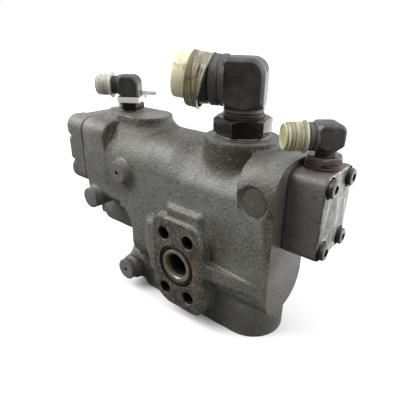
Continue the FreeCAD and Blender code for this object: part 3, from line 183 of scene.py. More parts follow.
def cast_paint(name, base, grain=1.0, stains_and_shade=()):
    """Grey enamel over a sand casting: mottled, speckled with dirt in its pits and with painted
    glints, with grime and painted shade in its hollows and a painted highlight on its rubbed
    edges.

    The patches given: (centre in mm, radii in mm, strength) of dark oil-brown patches: oil round
    fittings, and painted shade in recesses and beside the bosses."""
    n = Paint(name)
    light, dark = tone(base, 1.35, 0.01), tone(base, 0.66)
    olive = tuple(c * share for c, share in zip(base, (0.62, 0.6, 0.43)))
    # dark oil-brown: oil and grime, and painted shade in recesses and hollows
    oil_and_shade = tuple(c * share for c, share in zip(base, (0.3, 0.285, 0.205)))
    colour = n.ramp(n.noise(30.0, 6.0, 0.62),
                    (0.32, dark), (0.46, base), (0.57, base), (0.72, light))
    patches = n.ramp(n.noise(17.0, 3.0, 0.5, 0.6), (0.5, 0.0), (0.72, 0.55))
    colour = n.mix(patches, colour, olive)
    fine = n.ramp(n.noise(900.0, 3.0, 0.6), (0.54, 0.0), (0.74, 0.6))
    colour = n.mix(fine, colour, light)
    uneven = n.noise(60.0, 5.0, 0.65, 0.5)
    # darker patches: oil round fittings, and painted shade in recesses and beside the bosses
    for centre, radii, strength in stains_and_shade:
        colour = n.mix(n.patch(centre, radii, strength, uneven), colour, oil_and_shade)
    # darker in hollows and creases: grime, and painted shade where the creases are shaded
    colour = n.mix(n.edges((0.4, 0.75), (0.485, 0.0)), colour, oil_and_shade)
    pits = n.new("TexVoronoi", {"Scale": 620.0, "Vector": n.where}).outputs["Distance"]
    sparse = n.ramp(n.noise(90.0, 2.0, 0.5), (0.46, 0.0), (0.6, 1.0))
    dirt = n.times(n.ramp(pits, (0.12, 1.0), (0.3, 0.0)), sparse)
    colour = n.mix(dirt, colour, HOLLOW_DIRT)
    # bright specks: colour grain, and painted glints of light on the glossy paint
    grain_and_glints = n.ramp(n.noise(420.0, 4.0, 0.75), (0.52, 0.0), (0.66, 0.55))
    colour = n.mix(n.times(grain_and_glints, 0.6 * grain), colour, tone(base, 2.0, 0.02))
    grime = n.ramp(n.noise(240.0, 5.0, 0.7, 0.6), (0.55, 0.0), (0.66, 0.7))
    colour = n.mix(grime, colour, oil_and_shade)
    # lighter on the bulging edges: paint rubbed thin, and a painted highlight along the rims
    worn = n.times(n.edges((0.53, 0.0), (0.6, 1.0)),
                   n.ramp(n.noise(120.0, 4.0, 0.6), (0.35, 0.15), (0.6, 0.9)))
    colour = n.mix(worn, colour, tone(base, 2.4, 0.03))
    n.finish(colour, n.ramp(n.noise(60.0), (0.3, 0.26), (0.7, 0.46)),
             [(n.noise(120.0, 5.0, 0.6, 0.8), 0.36 * grain),
              (n.noise(470.0, 5.0, 0.7), 0.75 * grain), (pits, 0.3 * grain)],
             {"Specular IOR Level": 0.45, "Coat Weight": 0.15, "Coat Roughness": 0.3})


def machined(name, base, rough, metallic=1.0, stain=(0.16, 0.11, 0.07), amount=0.4,
             scratch=0.05, oil=0.0, worn=None, sheen=0.5):
    """Steel with scratches and brown stain spots, an oil film, and lighter worn edges that also
    carry a painted highlight along the rims.
    """
    n = Paint(name)
    colour = n.ramp(n.noise(70.0, 5.0, 0.62),
                    (0.3, tone(base, 0.6)), (0.5, base), (0.72, tone(base, 1.3, 0.02)))
    spots = n.ramp(n.noise(45.0, 6.0, 0.65, 0.8), (0.48, 0.0), (0.7, amount))
    colour = n.mix(spots, colour, stain)
    # lighter on the bulging edges: rubbed steel, and a painted highlight along the rims
    if worn:
        rubbed = n.times(n.edges((0.52, 0.0), (0.6, 1.0)),
                         n.ramp(n.noise(160.0, 4.0, 0.6), (0.35, 0.3), (0.6, 1.0)))
        colour = n.mix(rubbed, colour, worn)
    n.finish(colour, n.ramp(n.noise(130.0), (0.3, rough[0]), (0.7, rough[1])),
             [(n.noise(600.0, 3.0, 0.6), scratch), (n.noise(1400.0, 3.0, 0.6), scratch * 0.5)],
             {"Metallic": metallic, "Coat Weight": oil, "Coat Roughness": 0.16,
              "Specular IOR Level": sheen})


TRANSLUCENT = {"Subsurface Radius": (0.004, 0.003, 0.002), "Subsurface Scale": 1.0}
SOFT_ROUGH = ((0.3, 0.34), (0.7, 0.54))


def plastic(name, base, soil=(0.34, 0.27, 0.14), amount=0.5, through=0.25):
    """Soft translucent plastic, soiled in patches."""
    n = Paint(name)
    colour = n.ramp(n.noise(60.0, 4.0, 0.6), (0.35, base), (0.65, tone(base, 1.08)))
    dirt = n.ramp(n.noise(95.0, 6.0, 0.68, 1.1), (0.52, 0.0), (0.7, amount))
    n.finish(n.mix(dirt, colour, soil),
             n.ramp(n.noise(110.0, 3.0), *SOFT_ROUGH),
             [(n.noise(240.0, 4.0, 0.6), 0.12)],
             {"Subsurface Weight": through, "Specular IOR Level": 0.5, **TRANSLUCENT})


def ringed(name, turn, base, streak, soil):
    """Translucent plastic over a dark thread: rings show through along the cap's own X axis."""
    n = Paint(name)
    own = n.new("Mapping", {"Rotation": (0.0, 0.0, math.radians(turn)),
                            "Scale": (1 / 620.0, 1 / 26.0, 1 / 26.0), "Vector": n.where},
                vector_type="TEXTURE")
    plain, n.where = n.where, own.outputs["Vector"]
    rings = n.noise(1.0, 3.0, 0.6)
    n.where = plain
    between = tuple((a + b) / 2 for a, b in zip(base, streak))
    colour = n.ramp(rings, (0.36, streak), (0.5, between), (0.62, base))
    soiled = n.ramp(n.noise(85.0, 6.0, 0.7, 1.0), (0.5, 0.0), (0.66, 0.85))
    n.finish(n.mix(soiled, colour, soil),
             n.ramp(n.noise(110.0, 3.0), *SOFT_ROUGH),
             [(rings, 0.25), (n.noise(240.0, 4.0, 0.6), 0.12)],
             {"Subsurface Weight": 0.25, "Coat Weight": 0.5, "Coat Roughness": 0.12,
              **TRANSLUCENT})


def rubbed_paint(name, base, bright):
    """Paint worn through to bright metal in upright streaks."""
    n = Paint(name)
    colour = n.ramp(n.noise(80.0, 5.0, 0.6), (0.35, tone(base, 0.6)), (0.65, base))
    bare_metal = n.ramp(n.noise(70.0, 6.0, 0.72, 1.2, (1.0, 1.0, 0.45)),
                        (0.44, 0.0), (0.56, 1.0))
    scratches = n.ramp(n.noise(260.0, 4.0, 0.7, 0.4, (1.0, 1.0, 0.18)),
                       (0.4, 0.35), (0.6, 1.0))
    worn = n.times(bare_metal, scratches)
    n.finish(n.mix(worn, colour, bright),
             n.ramp(n.noise(150.0, 4.0, 0.6), (0.35, 0.22), (0.65, 0.45)),
             [(n.noise(180.0, 5.0, 0.65), 0.25)], {"Metallic": n.times(worn, 0.55)})


def pad_face(name):
    """The bare flange face: brown steel, speckled with bright metal and dark stain spots."""
    n = Paint(name)
    colour = n.ramp(n.noise(75.0, 6.0, 0.7, 0.5),
                    (0.34, (0.03, 0.024, 0.018)), (0.47, (0.085, 0.07, 0.054)),
                    (0.58, (0.12, 0.1, 0.078)), (0.72, (0.2, 0.17, 0.13)))
    specks = n.ramp(n.noise(430.0, 4.0, 0.75), (0.53, 0.0), (0.64, 0.85))
    colour = n.mix(specks, colour, (0.34, 0.3, 0.22))
    spots = n.ramp(n.noise(300.0, 5.0, 0.7, 0.6), (0.55, 0.0), (0.66, 0.9))
    n.finish(n.mix(spots, colour, (0.02, 0.016, 0.012)),
             n.ramp(n.noise(260.0, 4.0, 0.65), (0.35, 0.28), (0.65, 0.62)),
             [(n.noise(380.0, 5.0, 0.7), 0.35)], {"Metallic": 0.35})


def rubber(name):
    n = Paint(name)
    n.finish(n.ramp(n.noise(200.0), (0.3, 0.006), (0.7, 0.022)),
             n.ramp(n.noise(300.0, 3.0), (0.3, 0.35), (0.7, 0.6)),
             [(n.noise(900.0, 3.0), 0.03)], {"Specular IOR Level": 0.2})


# painted shadow on the right end face beside the pilot cover, which shades it
END_SHADOW = ((88, 14, 66), (10, 16, 44), 0.8)
# darker patches of the housing: oil round the fittings and on the top, and painted shade on the
# shaded sides of the bosses, beside the pad, under the datum bosses and in recesses
STAINS_AND_SHADE = [((BOSS_X, PLANE, 107), (45, 45, 28), 1.0), ((-14, 44, 108), (44, 36, 15), 0.85),
          ((-80, PLANE, 107), (60, 42, 24), 1.0), END_SHADOW,
          ((78, 8, 92), (16, 20, 14), 0.7), ((-112, 6, 22), (22, 10, 18), 0.6),
          ((58, 8, 10), (50, 14, 50), 0.4), ((-54, 14, -16), (16, 12, 26), 0.6),
          ((4, 3, 50), (26, 8, 5), 0.5), ((35, 4, 10), (6, 8, 44), 0.6),
          ((20, 20, -48), (80, 38, 26), 0.55), ((-64, 10, -36), (26, 20, 26), 0.6),
          ((-84, 8, 56), (24, 8, 14), 0.4), ((38, 6, 30), (12, 8, 26), 0.4),
          # painted shade in the pocket beside the square end
          ((-93, 15, 95), (9, 14, 17), 0.8)]
for name, base, grain, stains_and_shade in (
        ("housing_paint", (0.15, 0.149, 0.136), 1.0, STAINS_AND_SHADE),
        ("pilot_cover_paint", (0.095, 0.093, 0.088), 0.35, ()),
        ("spring_cover_paint", (0.145, 0.14, 0.135), 0.8, ()),
        ("boss_face", (0.12, 0.116, 0.105), 0.25, ()),
        # a lighter copy of the machined paint: painted light on the right end, which faces the
        # bright right side of the studio; it carries the painted shadow beside the pilot cover
        ("end_face", (0.2, 0.198, 0.185), 0.25, [END_SHADOW]),
        ("machined_paint", (0.15, 0.148, 0.14), 0.25, ()),
        ("plug_paint", (0.08, 0.074, 0.062), 0.3, ())):
    cast_paint(name, base, grain, stains_and_shade)
pad_face("pad_steel")
rubbed_paint("rubbed_paint", (0.075, 0.074, 0.07), (0.48, 0.48, 0.46))
rubber("seal_rubber")
# near black: painted shade on the walls of bores, key sockets and mouths
machined("hole_dark", (0.012, 0.011, 0.01), (0.5, 0.7), 0.2, (0.006, 0.006, 0.006))
machined("screw_steel", (0.028, 0.026, 0.024), (0.25, 0.45), 0.7, (0.03, 0.018, 0.012), 0.5,
         oil=0.5, worn=(0.25, 0.23, 0.2))
machined("elbow_steel", (0.048, 0.046, 0.04), (0.3, 0.48), 0.2, (0.022, 0.017, 0.012), 0.6,
         scratch=0.1, oil=0.15, worn=(0.115, 0.11, 0.095))
machined("locknut_steel", (0.01, 0.005, 0.002), (0.14, 0.26), 0.35, (0.016, 0.008, 0.004),
         0.6, oil=0.45, worn=(0.14, 0.11, 0.07), sheen=0.2)
machined("washer_steel", (0.07, 0.06, 0.05), (0.25, 0.45), 0.6, (0.04, 0.024, 0.015), 0.6,
         oil=0.6, worn=(0.4, 0.38, 0.33))
machined("rusty_seal", (0.06, 0.022, 0.013), (0.3, 0.5), 0.2, (0.022, 0.009, 0.006), 0.7)
machined("sleeve_steel", (0.22, 0.21, 0.12), (0.25, 0.42), 0.45, (0.05, 0.046, 0.022), 0.8,
         oil=0.4)
machined("bare_steel", (0.45, 0.44, 0.42), (0.15, 0.3), 1.0, (0.3, 0.28, 0.25), 0.2)
machined("spring_steel", (0.25, 0.25, 0.26), (0.25, 0.4))
plastic("main_cap_plastic", (0.8, 0.74, 0.5), (0.16, 0.13, 0.06), 0.75)
plastic("pilot_cap_plastic", (0.42, 0.4, 0.23), (0.14, 0.12, 0.055), 0.6)
plastic("drain_cap_plastic", (0.46, 0.45, 0.38), (0.16, 0.14, 0.09))
plastic("tie_plastic", (0.8, 0.82, 0.78), amount=0.1, through=0.3)
ringed("main_cap_skirt", 25.0, (0.36, 0.32, 0.19), (0.105, 0.088, 0.05), (0.06, 0.048, 0.026))
ringed("pilot_cap_skirt", 44.0, (0.5, 0.47, 0.33), (0.2, 0.175, 0.095), (0.13, 0.11, 0.055))
ringed("drain_cap_skirt", 33.0, (0.74, 0.72, 0.64), (0.3, 0.27, 0.2), (0.24, 0.21, 0.15))

SLOTS = {row["node"]: row["material_slot"] for row in frame["record"]["subparts"]}
for node_name, node in frame["nodes"].items():
    chosen = M[SLOTS[node_name]]
    if not node.data.materials:
        node.data.materials.append(chosen)
    for slot in node.material_slots:
        slot.material = chosen


# -------- meshes
def new_object(name, verts_mm, faces, mat):
    mesh = bpy.data.meshes.new(name)
    mesh.from_pydata([tuple(MM * c for c in v) for v in verts_mm], [], faces)
    mesh.validate()
    obj = bpy.data.objects.new(name, mesh)
    bpy.context.scene.collection.objects.link(obj)
    mesh.materials.append(mat)
    return obj


def vectors(mesh, what="co"):
    """The vertices' places or normals as rows of an array."""
    values = np.zeros(len(mesh.vertices) * 3, np.float32)
    mesh.vertices.foreach_get(what, values)
    return values.reshape(-1, 3)


def set_places(mesh, co):
    mesh.vertices.foreach_set("co", co.ravel().astype(np.float32))
    mesh.update()


def applied(obj):
    """Bakes an object's modifiers into its mesh."""
    graph = bpy.context.evaluated_depsgraph_get()
    mesh = bpy.data.meshes.new_from_object(obj.evaluated_get(graph), depsgraph=graph)
    obj.modifiers.clear()
    old = obj.data
    obj.data = mesh
    bpy.data.meshes.remove(old)


def boolean(base, other, how="DIFFERENCE"):
    """Cuts or joins two closed meshes; faces keep the material of the piece they come from."""
    mod = base.modifiers.new("cut", "BOOLEAN")
    mod.operation = how
    mod.solver = "MANIFOLD"
    mod.object = other
    mod.material_mode = "TRANSFER"
    applied(base)
    bpy.data.objects.remove(other)
    return base


def smooth(obj, degrees):
    mesh = obj.data
    mesh.polygons.foreach_set("use_smooth", np.ones(len(mesh.polygons), bool))
    mesh.set_sharp_from_angle(angle=math.radians(degrees))


def lathe(name, outline, start, direction, mat, segments=64, ring=False):
    """A turned solid from (along, radius) pairs in mm.

    Its outline has both ends on the axis, or for a ring it closes on itself off the axis."""
    axis = Vector(direction).normalized()
    side = axis.orthogonal().normalized()
    other = axis.cross(side)
    verts, rings = [], []
    for along, radius in outline:
        centre = Vector(start) + axis * along
        first = len(verts)
        if radius:
            for i in range(segments):
                a = 2 * math.pi * i / segments
                verts.append(centre + (side * math.cos(a) + other * math.sin(a)) * radius)
        else:
            verts.append(centre)
        rings.append(range(first, len(verts)))
    faces = []
    for lower, upper in zip(rings, rings[1:] + (rings[:1] if ring else [])):
        for i in range(segments):
            j = (i + 1) % segments
            if len(lower) == 1:
                faces.append((lower[0], upper[j], upper[i]))
            elif len(upper) == 1:
                faces.append((lower[i], lower[j], upper[0]))
            else:
                faces.append((lower[i], lower[j], upper[j], upper[i]))
    return new_object(name, verts, faces, mat)


def bore(start, direction, radius, length, mat=None, segments=64):
    """A cylinder to cut with."""
    outline = [(0, 0), (0, radius), (length, radius), (length, 0)]
    # the faces it cuts get the near-black hole material: painted shade inside the bore
    return lathe("bore", outline, start, direction, mat or M["hole_dark"], segments)


def block(low, high, mat):
    """A box to trim with."""
    (x0, y0, z0), (x1, y1, z1) = low, high
    verts = [(x0, y0, z0), (x1, y0, z0), (x1, y1, z0), (x0, y1, z0),
             (x0, y0, z1), (x1, y0, z1), (x1, y1, z1), (x0, y1, z1)]
    faces = [(0, 3, 2, 1), (4, 5, 6, 7), (0, 1, 5, 4), (1, 2, 6, 5), (2, 3, 7, 6), (3, 0, 4, 7)]
    return new_object("trim", verts, faces, mat)


def hexagon(name, verts, mat):
    """A six-sided bar from its two rings of corners."""
    faces = [(5, 4, 3, 2, 1, 0), (6, 7, 8, 9, 10, 11)]
    faces += [(i, (i + 1) % 6, (i + 1) % 6 + 6, i + 6) for i in range(6)]
    return new_object(name, verts, faces, mat)


def bare(obj, face, keep):
    """Gives the faces whose centre passes keep(x, y, z in mm) another material."""
    obj.data.materials.append(face)
    index = len(obj.data.materials) - 1
    for polygon in obj.data.polygons:
        if keep(*(c / MM for c in polygon.center)):
            polygon.material_index = index


def piece(obj, matrix, node, body, degrees):
    """Sets a finished mesh in its place, hides the part that it takes the place of and hangs it
    on its body.
    """
    obj.data.transform(matrix)
    smooth(obj, degrees)
    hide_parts(node)
    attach(obj, body)


# -------- value noise on points
def value_noise(points, wave, seed):
    """Smooth noise between -1 and 1 with a given wave length, the same on every run."""
    size, far = 64, 1000.0
    table = np.random.default_rng(seed).uniform(-1, 1, (size, size, size)).astype(np.float32)
    q = points / wave + far
    cell = np.floor(q).astype(np.int64)
    f = (q - cell).astype(np.float32)
    f = f * f * (3 - 2 * f)
    total = np.zeros(len(points), np.float32)
    for dx, dy, dz in np.ndindex(2, 2, 2):
        weight = (np.abs(1 - dx - f[:, 0]) * np.abs(1 - dy - f[:, 1])
                  * np.abs(1 - dz - f[:, 2]))
        total += weight * table[(cell[:, 0] + dx) % size, (cell[:, 1] + dy) % size,
                                (cell[:, 2] + dz) % size]
    return total


# -------- castings as distance fields
def meet(p, q):
    """Distance to where two signed distances meet, round the corner outside both."""
    return (np.minimum(np.maximum(p, q), 0)
            + np.sqrt(np.maximum(p, 0) ** 2 + np.maximum(q, 0) ** 2))


class Field:
    """A distance field on a grid, joined piece by piece with cast fillets."""

    def __init__(self, low, high, step):
        self.low = low
        self.step = step
        axes = [np.arange(a, b, step, dtype=np.float32) for a, b in zip(low, high)]
        self.x = axes[0][:, None, None]
        self.y = axes[1][None, :, None]
        self.z = axes[2][None, None, :]
        self.value = None

    def add(self, distance, fillet):
        distance = np.broadcast_to(distance, (self.x.size, self.y.size, self.z.size))
        if self.value is None:
            self.value = np.array(distance, np.float32)
            return
        a = self.value
        u = np.maximum(fillet - a, 0)
        v = np.maximum(fillet - distance, 0)
        self.value = np.maximum(fillet, np.minimum(a, distance)) - np.sqrt(u * u + v * v)

    def cut(self, distance, edge):
        a = self.value
        b = -np.broadcast_to(distance, a.shape)
        u = np.maximum(edge + a, 0)
        v = np.maximum(edge + b, 0)
        self.value = np.minimum(-edge, np.maximum(a, b)) + np.sqrt(u * u + v * v)

    def box(self, x, y, z, edge):
        """A box with all its edges rounded."""
        p, q, r = (np.abs(axis - (a + b) / 2) - ((b - a) / 2 - edge)
                   for axis, (a, b) in ((self.x, x), (self.y, y), (self.z, z)))
        outside = np.sqrt(np.maximum(p, 0) ** 2 + np.maximum(q, 0) ** 2 + np.maximum(r, 0) ** 2)
        return outside + np.minimum(np.maximum(p, np.maximum(q, r)), 0) - edge

    def plate(self, first, second, a, b, corners):
        """Distance to a rectangle in two axes with its own radius at each corner.

        corners: low-low, high-low, low-high, high-high."""
        p, q = first - (a[0] + a[1]) / 2, second - (b[0] + b[1]) / 2
        radius = np.where(q < 0, np.where(p < 0, corners[0], corners[1]),
                          np.where(p < 0, corners[2], corners[3]))
        u = np.abs(p) - (a[1] - a[0]) / 2 + radius
        v = np.abs(q) - (b[1] - b[0]) / 2 + radius
        return meet(u, v) - radius

    def prism(self, flat, axis, ends, edge):
        """Extrudes a flat distance along an axis with rounded end edges."""
        half = (ends[1] - ends[0]) / 2
        return meet(flat + edge, np.abs(axis - (ends[0] + ends[1]) / 2) - half + edge) - edge

    def bar(self, y, z, corners, ends, edge):
        """A bar along X with its own radius at each corner of its section."""
        return self.prism(self.plate(self.y, self.z, y, z, corners), self.x, ends, edge)

    def rod(self, axis, a, b, radius, ends, edge):
        """A rod along self.x, self.y or self.z through (a, b) in the other two."""
        first, second = (other for other in (self.x, self.y, self.z) if other is not axis)
        flat = np.sqrt((first - a) ** 2 + (second - b) ** 2) - radius
        return self.prism(flat, axis, ends, edge)

    def mesh(self, name, mat):
        reach = 10.0  # distances are only kept this far from the surface
        grid = openvdb.FloatGrid(reach)
        grid.copyFromArray(np.ascontiguousarray(np.clip(self.value, -reach, reach)))
        points, quads = grid.convertToQuads(0.0)
        points = points * self.step + np.array(self.low, np.float32)
        return new_object(name, points, [tuple(q[::-1]) for q in quads.tolist()], mat)


END_CORNERS = (12, 12, 12, 12)  # of the square end on the left and its cover
END_Z = (41, 109.5)
PAST = 5  # what a form runs past a face that is trimmed flat later
DATUM_RADIUS = 10.5
DATUM_BOSSES = ((-72.0, 70.0, 11.0), (-118.7, 31.6, 46.0), (-70.9, -34.6, 46.0))  # x, z, root
OVAL_ROOT, OVAL_DRAFT = 92, 5.0
SHELF = (28, 78)  # X of the shelf right of the pad


def raw_casting():
    """Every form of the housing in turn, each joined with the fillet of its pattern."""
    f = Field((-136, -3, -60), (93, 88, 121), 1.0)
    past_right = RIGHT_FACE + PAST
    # barrel round the spool, and the lower block with its sloping shoulder
    f.add(f.bar((FRONT_WALL, REAR_WALL), (32, 106), (9, 9, 29, 29),
                (LEFT_FACE + 1, past_right), 1.2), 0)
    f.add(f.bar((FRONT_WALL, 63), (-20, 72), (20, 27, 1, 1), (-66, past_right), 1), 0.3)
    spread = np.maximum(np.abs(f.x - 26) - 20, 0)
    shoulder = (f.z - 80) * 0.68 - (f.y - FRONT_WALL) * 0.73 - 0.014 * spread ** 2
    f.cut(np.maximum(-shoulder, f.y - PLANE), 3.0)
    # web with a hollow edge in the corner of block and barrel
    corner = f.box((-81, -60), (FRONT_WALL, PLANE), (17, 41), 0.5)
    hollow = 15 - np.sqrt((f.x + 81) ** 2 + (f.z - 17) ** 2)
    f.add(np.maximum(corner, hollow), 0.3)
    # square end for the spring cover
    f.add(f.bar((FRONT_WALL, REAR_WALL), END_Z, END_CORNERS, (LEFT_FACE, -97), 1.2), 1.5)
    # foot, and the check valve's column above it
    foot = f.plate(f.x, f.y, (-64, 81.5), (17, 75), (10, 29, 10, 29))
    f.add(f.prism(foot, f.z, (FOOT_FACE - PAST, -10), 3), 5)
    f.add(f.rod(f.z, BOSS_X, PLANE, 27, (-53, 72), 2), 6)
    # relief valve's boss, and the web that joins it to the barrel
    f.add(f.rod(f.x, PLANE, RELIEF_Z, 20.5, (LEFT_FACE - 6, -40), 2), 6)
    f.add(f.box((-123, -61), (34, 58), (8, 44), 2), 6)
    # dome for the pilot piston
    f.add(f.bar((5, REAR_WALL), (60, 109), (23, 23, 23, 23), (57, past_right), 1.2), 0.8)
    # oval boss with its draft, and the round boss
    draft = np.clip((OVAL_TOP - f.z) / (OVAL_TOP - OVAL_ROOT) * OVAL_DRAFT, 0, OVAL_DRAFT)
    along = np.clip(f.x, OVAL_X[0], OVAL_X[1])
    oval = np.sqrt((f.x - along) ** 2 + (f.y - PLANE) ** 2) - 20.6 - draft
    f.add(f.prism(oval, f.z, (OVAL_ROOT, OVAL_TOP), 0.9), 7)
    f.add(f.rod(f.z, BOSS_X, PLANE, 29.9, (72, BOSS_TOP), 0.9), 3.5)
    # humps above and left of the pad, then the pad and the shelf on its right
    f.add(f.box((-13, 24), (3.4, 16), (30, 54), 2.5), 4.0)
    f.add(f.box((-40, -26), (5.6, 16), (-22, 30), 2.4), 7.0)
    pad = f.plate(f.x, f.z, (-27.4, 31), (-43.3, 44), (20, 12, 10, 19))
    f.add(f.prism(pad, f.y, (0, 22), 0.8), 2.5)
    slope = f.z - (14 - 3 * np.clip((f.x - 31) / 47, 0, 1))
    front = 0.8 + 7.2 * (f.x - SHELF[0]) / (SHELF[1] - SHELF[0])
    shelf = np.maximum(np.maximum(slope, -f.z), np.maximum(front - f.y, f.y - 12))
    f.add(np.maximum(shelf, np.maximum(SHELF[0] - f.x, f.x - SHELF[1])), 2)
    # datum bosses, the lowest with a flared root
    for x, z, root in DATUM_BOSSES:
        f.add(f.rod(f.y, x, z, DATUM_RADIUS, (0, root), 0.8), 2.8)
    reach = np.sqrt((f.x + 68.5) ** 2 + (f.z + 34.6) ** 2)
    flare = (reach - DATUM_RADIUS - np.clip(f.y - 12, 0, 14) * 0.75) * 0.8
    flare = np.maximum(np.maximum(flare, 10 - f.y), np.maximum(f.y - 38, -53 - f.z))
    f.add(flare, 6)
    # recess of the core plug
    f.cut(f.rod(f.y, PLUG_X, PLUG_Z, 12.2, (-6, FRONT_WALL), 0.5), 1.6)
    return f


SKIN = ((0.16, 24.0), (0.09, 8.0), (0.06, 2.6))  # height and length of its waves


def cast_skin(obj, relief=1.0, planes=()):
    """Sand-cast unevenness, pressed into the skin so that no outline grows.

    planes: (axis number, place in mm) of the machined faces, which keep flat."""
    co, normal = vectors(obj.data), vectors(obj.data, "normal")
    mm = co / MM
    lift = sum(height * value_noise(mm, wave, seed)
               for seed, (height, wave) in enumerate(SKIN, 1))
    lift -= sum(height for height, wave in SKIN)
    for axis, place in planes:
        lift[(np.abs(mm[:, axis] - place) < 0.2) & (np.abs(normal[:, axis]) > 0.8)] = 0.0
    set_places(obj.data, co + normal * (lift[:, None] * relief * MM))
    return obj


FAR = 200
housing = cast_skin(raw_casting().mesh("housing_casting", M["housing_paint"]),
                    planes=((1, 0.0), (2, BOSS_TOP), (2, OVAL_TOP)))
for low, high in (((-FAR, -40, -100), (FAR, 0, FAR)),
                  ((-FAR, -100, -FAR), (LEFT_FACE, FAR, FAR)),
                  ((-FAR, REAR_WALL, -FAR), (FAR, FAR, FAR)),
                  ((-FAR, -100, -FAR), (FAR, FAR, FOOT_FACE))):
    boolean(housing, block(low, high, M["machined_paint"]))
boolean(housing, block((RIGHT_FACE, -100, -FAR), (FAR, FAR, FAR), M["end_face"]))


def front_hole(x, z, radius, depth, sink, segments=48):
    """A drilled hole in the front with a countersunk mouth."""
    outline = [(-5, 0), (-5, radius + sink + 5), (sink, radius), (depth, radius),
               (depth + radius * 0.6, 0)]
    # the hole's walls get painted shade
    return lathe("hole", outline, (x, 0, z), Y, M["hole_dark"], segments)


OUT = 3.0  # how far a cutter starts outside a face
OUT_LEFT = (LEFT_FACE - OUT, PLANE)
OUT_BELOW = (BOSS_X, PLANE, FOOT_FACE - OUT)
holes = [front_hole(x, z, radius=6.2, depth=20, sink=0.4) for x, z in BOLTS]
holes += [front_hole(x, z, radius=1.8, depth=8, sink=0.3, segments=24)
          for x, z, root in DATUM_BOSSES[::2]]
holes += [
    # flange port with its groove and sleeve, and the ways to the spool and the check valve
    bore((0, -OUT, 0), Y, 20.0, 3 + OUT),
    bore((0, 2.9, 0), Y, 14.02, 21.12),
    bore((0, 23, 0), Y, 11.0, 23),
    bore((0, PLANE, 0), X, 9.0, BOSS_X),
    bore((0, PLANE, 0), Z, 9.0, SPOOL_Z),
    # spool, main spring, pilot piston and the two galleries
    bore((*OUT_LEFT, SPOOL_Z), X, 12.05, RIGHT_FACE - LEFT_FACE + 2 * OUT),
    bore((*OUT_LEFT, SPOOL_Z), X, 17.0, OUT + 51.05),
    bore((75.7, PLANE, SPOOL_Z), X, 15.5, RIGHT_FACE - 75.7 + OUT),
    bore((-8, PLANE, SPOOL_Z), X, 17.0, 16),
    bore((24.7, PLANE, SPOOL_Z), X, 17.0, 16),
    # main port above, check valve below
    bore((BOSS_X, PLANE, 90.5), Z, 16.75, 24 + OUT),
    bore((BOSS_X, PLANE, 36), Z, 11.0, 75),
    bore(OUT_BELOW, Z, 17.0, 91 + OUT),
    bore(OUT_BELOW, Z, 19.1, 33.2 + OUT),
    # drain port and the relief valve
    bore((OVAL_X[0], PLANE, OVAL_TOP - 16), Z, 7.1, 16 + OUT),
    bore((OVAL_X[0], PLANE, RELIEF_Z), Z, 3.5, OVAL_TOP - RELIEF_Z),
    bore((*OUT_LEFT, RELIEF_Z), X, 13.6, OUT + 27.8),
    bore((*OUT_LEFT, RELIEF_Z), X, 10.05, OUT + 43.8),
    bore((OVAL_X[0] - 2.5, PLANE, RELIEF_Z), X, 12.5, 5),
    bore((LEFT_FACE, PLANE, RELIEF_Z), X, 5.0, -LEFT_FACE),
    # core plug, and the seats of the three seals
    bore((PLUG_X, FRONT_WALL - OUT, PLUG_Z), Y, 10.52, 3.4 + OUT),
    bore((BOSS_X, PLANE, BOSS_TOP - 2.1), Z, 18.85, 2.1 + OUT),
    bore((OVAL_X[0], PLANE, OVAL_TOP - 2.1), Z, 9.2, 2.1 + OUT),
    bore((*OUT_LEFT, RELIEF_Z), X, 15.6, OUT + 2),
]
for pilot, spring in zip(PILOT_SCREWS, SPRING_SCREWS):
    holes.append(bore((RIGHT_FACE + OUT, *pilot), MINUS_X, 4.0, 22 + OUT, segments=24))
    holes.append(bore((LEFT_FACE - OUT, *spring), X, 5.0, 25 + OUT, segments=24))
for opening in holes:
    boolean(housing, opening)
housing.name = "housing_casting"
bare(housing, M["pad_steel"],
     lambda x, y, z: -0.05 < y < 1.2 and -28 < x < 32 and -44 < z < 45)
bare(housing, M["boss_face"],
     lambda x, y, z: z > BOSS_TOP - 0.4 and x > 0 or z > OVAL_TOP - 0.4)
bare(housing, M["machined_paint"], lambda x, y, z: y < 0.5 and x < -58)
smooth(housing, 35)
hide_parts("main_housing")
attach(housing, "root")


# -------- covers
LUG_SEAT = -143.5  # X of the seats of the sunk screws
RUBBED_FROM = 115.3  # X where the pilot cover's rubbed face begins


def spring_cover():
    """The cast cover on the left: four screw lugs and a raised band between them."""
    f = Field((-168, 4, 37), (-128, 88, 114), 0.8)
    outline = f.plate(f.y, f.z, (FRONT_WALL, REAR_WALL), END_Z, END_CORNERS)
    f.add(f.prism(outline, f.x, (-151, LEFT_FACE - 1.6), 1.2), 0)
    f.add(f.prism(outline + 4, f.x, (-134, LEFT_FACE + 0.5), 0.2), 0)
    for j, k in CORNERS:
        lug = f.rod(f.x, PLANE + j * 25, 75.25 + k * 22.5, 14.0, (-156.5, -140), 3.0)
        f.add(np.maximum(lug, outline + 0.2), 1.5)
    f.add(f.box((-163.5, -140), (12, 80), (61, 87), 4.0), 1.5)
    f.cut(-outline - 0.35, 0.3)
    cover = cast_skin(f.mesh("spring_cover_casting", M["spring_cover_paint"]), 0.8)
    outside = -170
    for place in SPRING_SCREWS:
        at = (outside, *place)
        boolean(cover, bore(at, X, 9.0, LUG_SEAT - outside, M["machined_paint"], 48))
        boolean(cover, bore(at, X, 5.5, 45, segments=32))
    boolean(cover, bore((-145, PLANE, SPOOL_Z), X, 17.0, 20))
    boolean(cover, block((LEFT_FACE, -5, 30), (-120, 95, 120), M["machined_paint"]))
    piece(cover, Matrix(), "spring_cover", "root", 35)


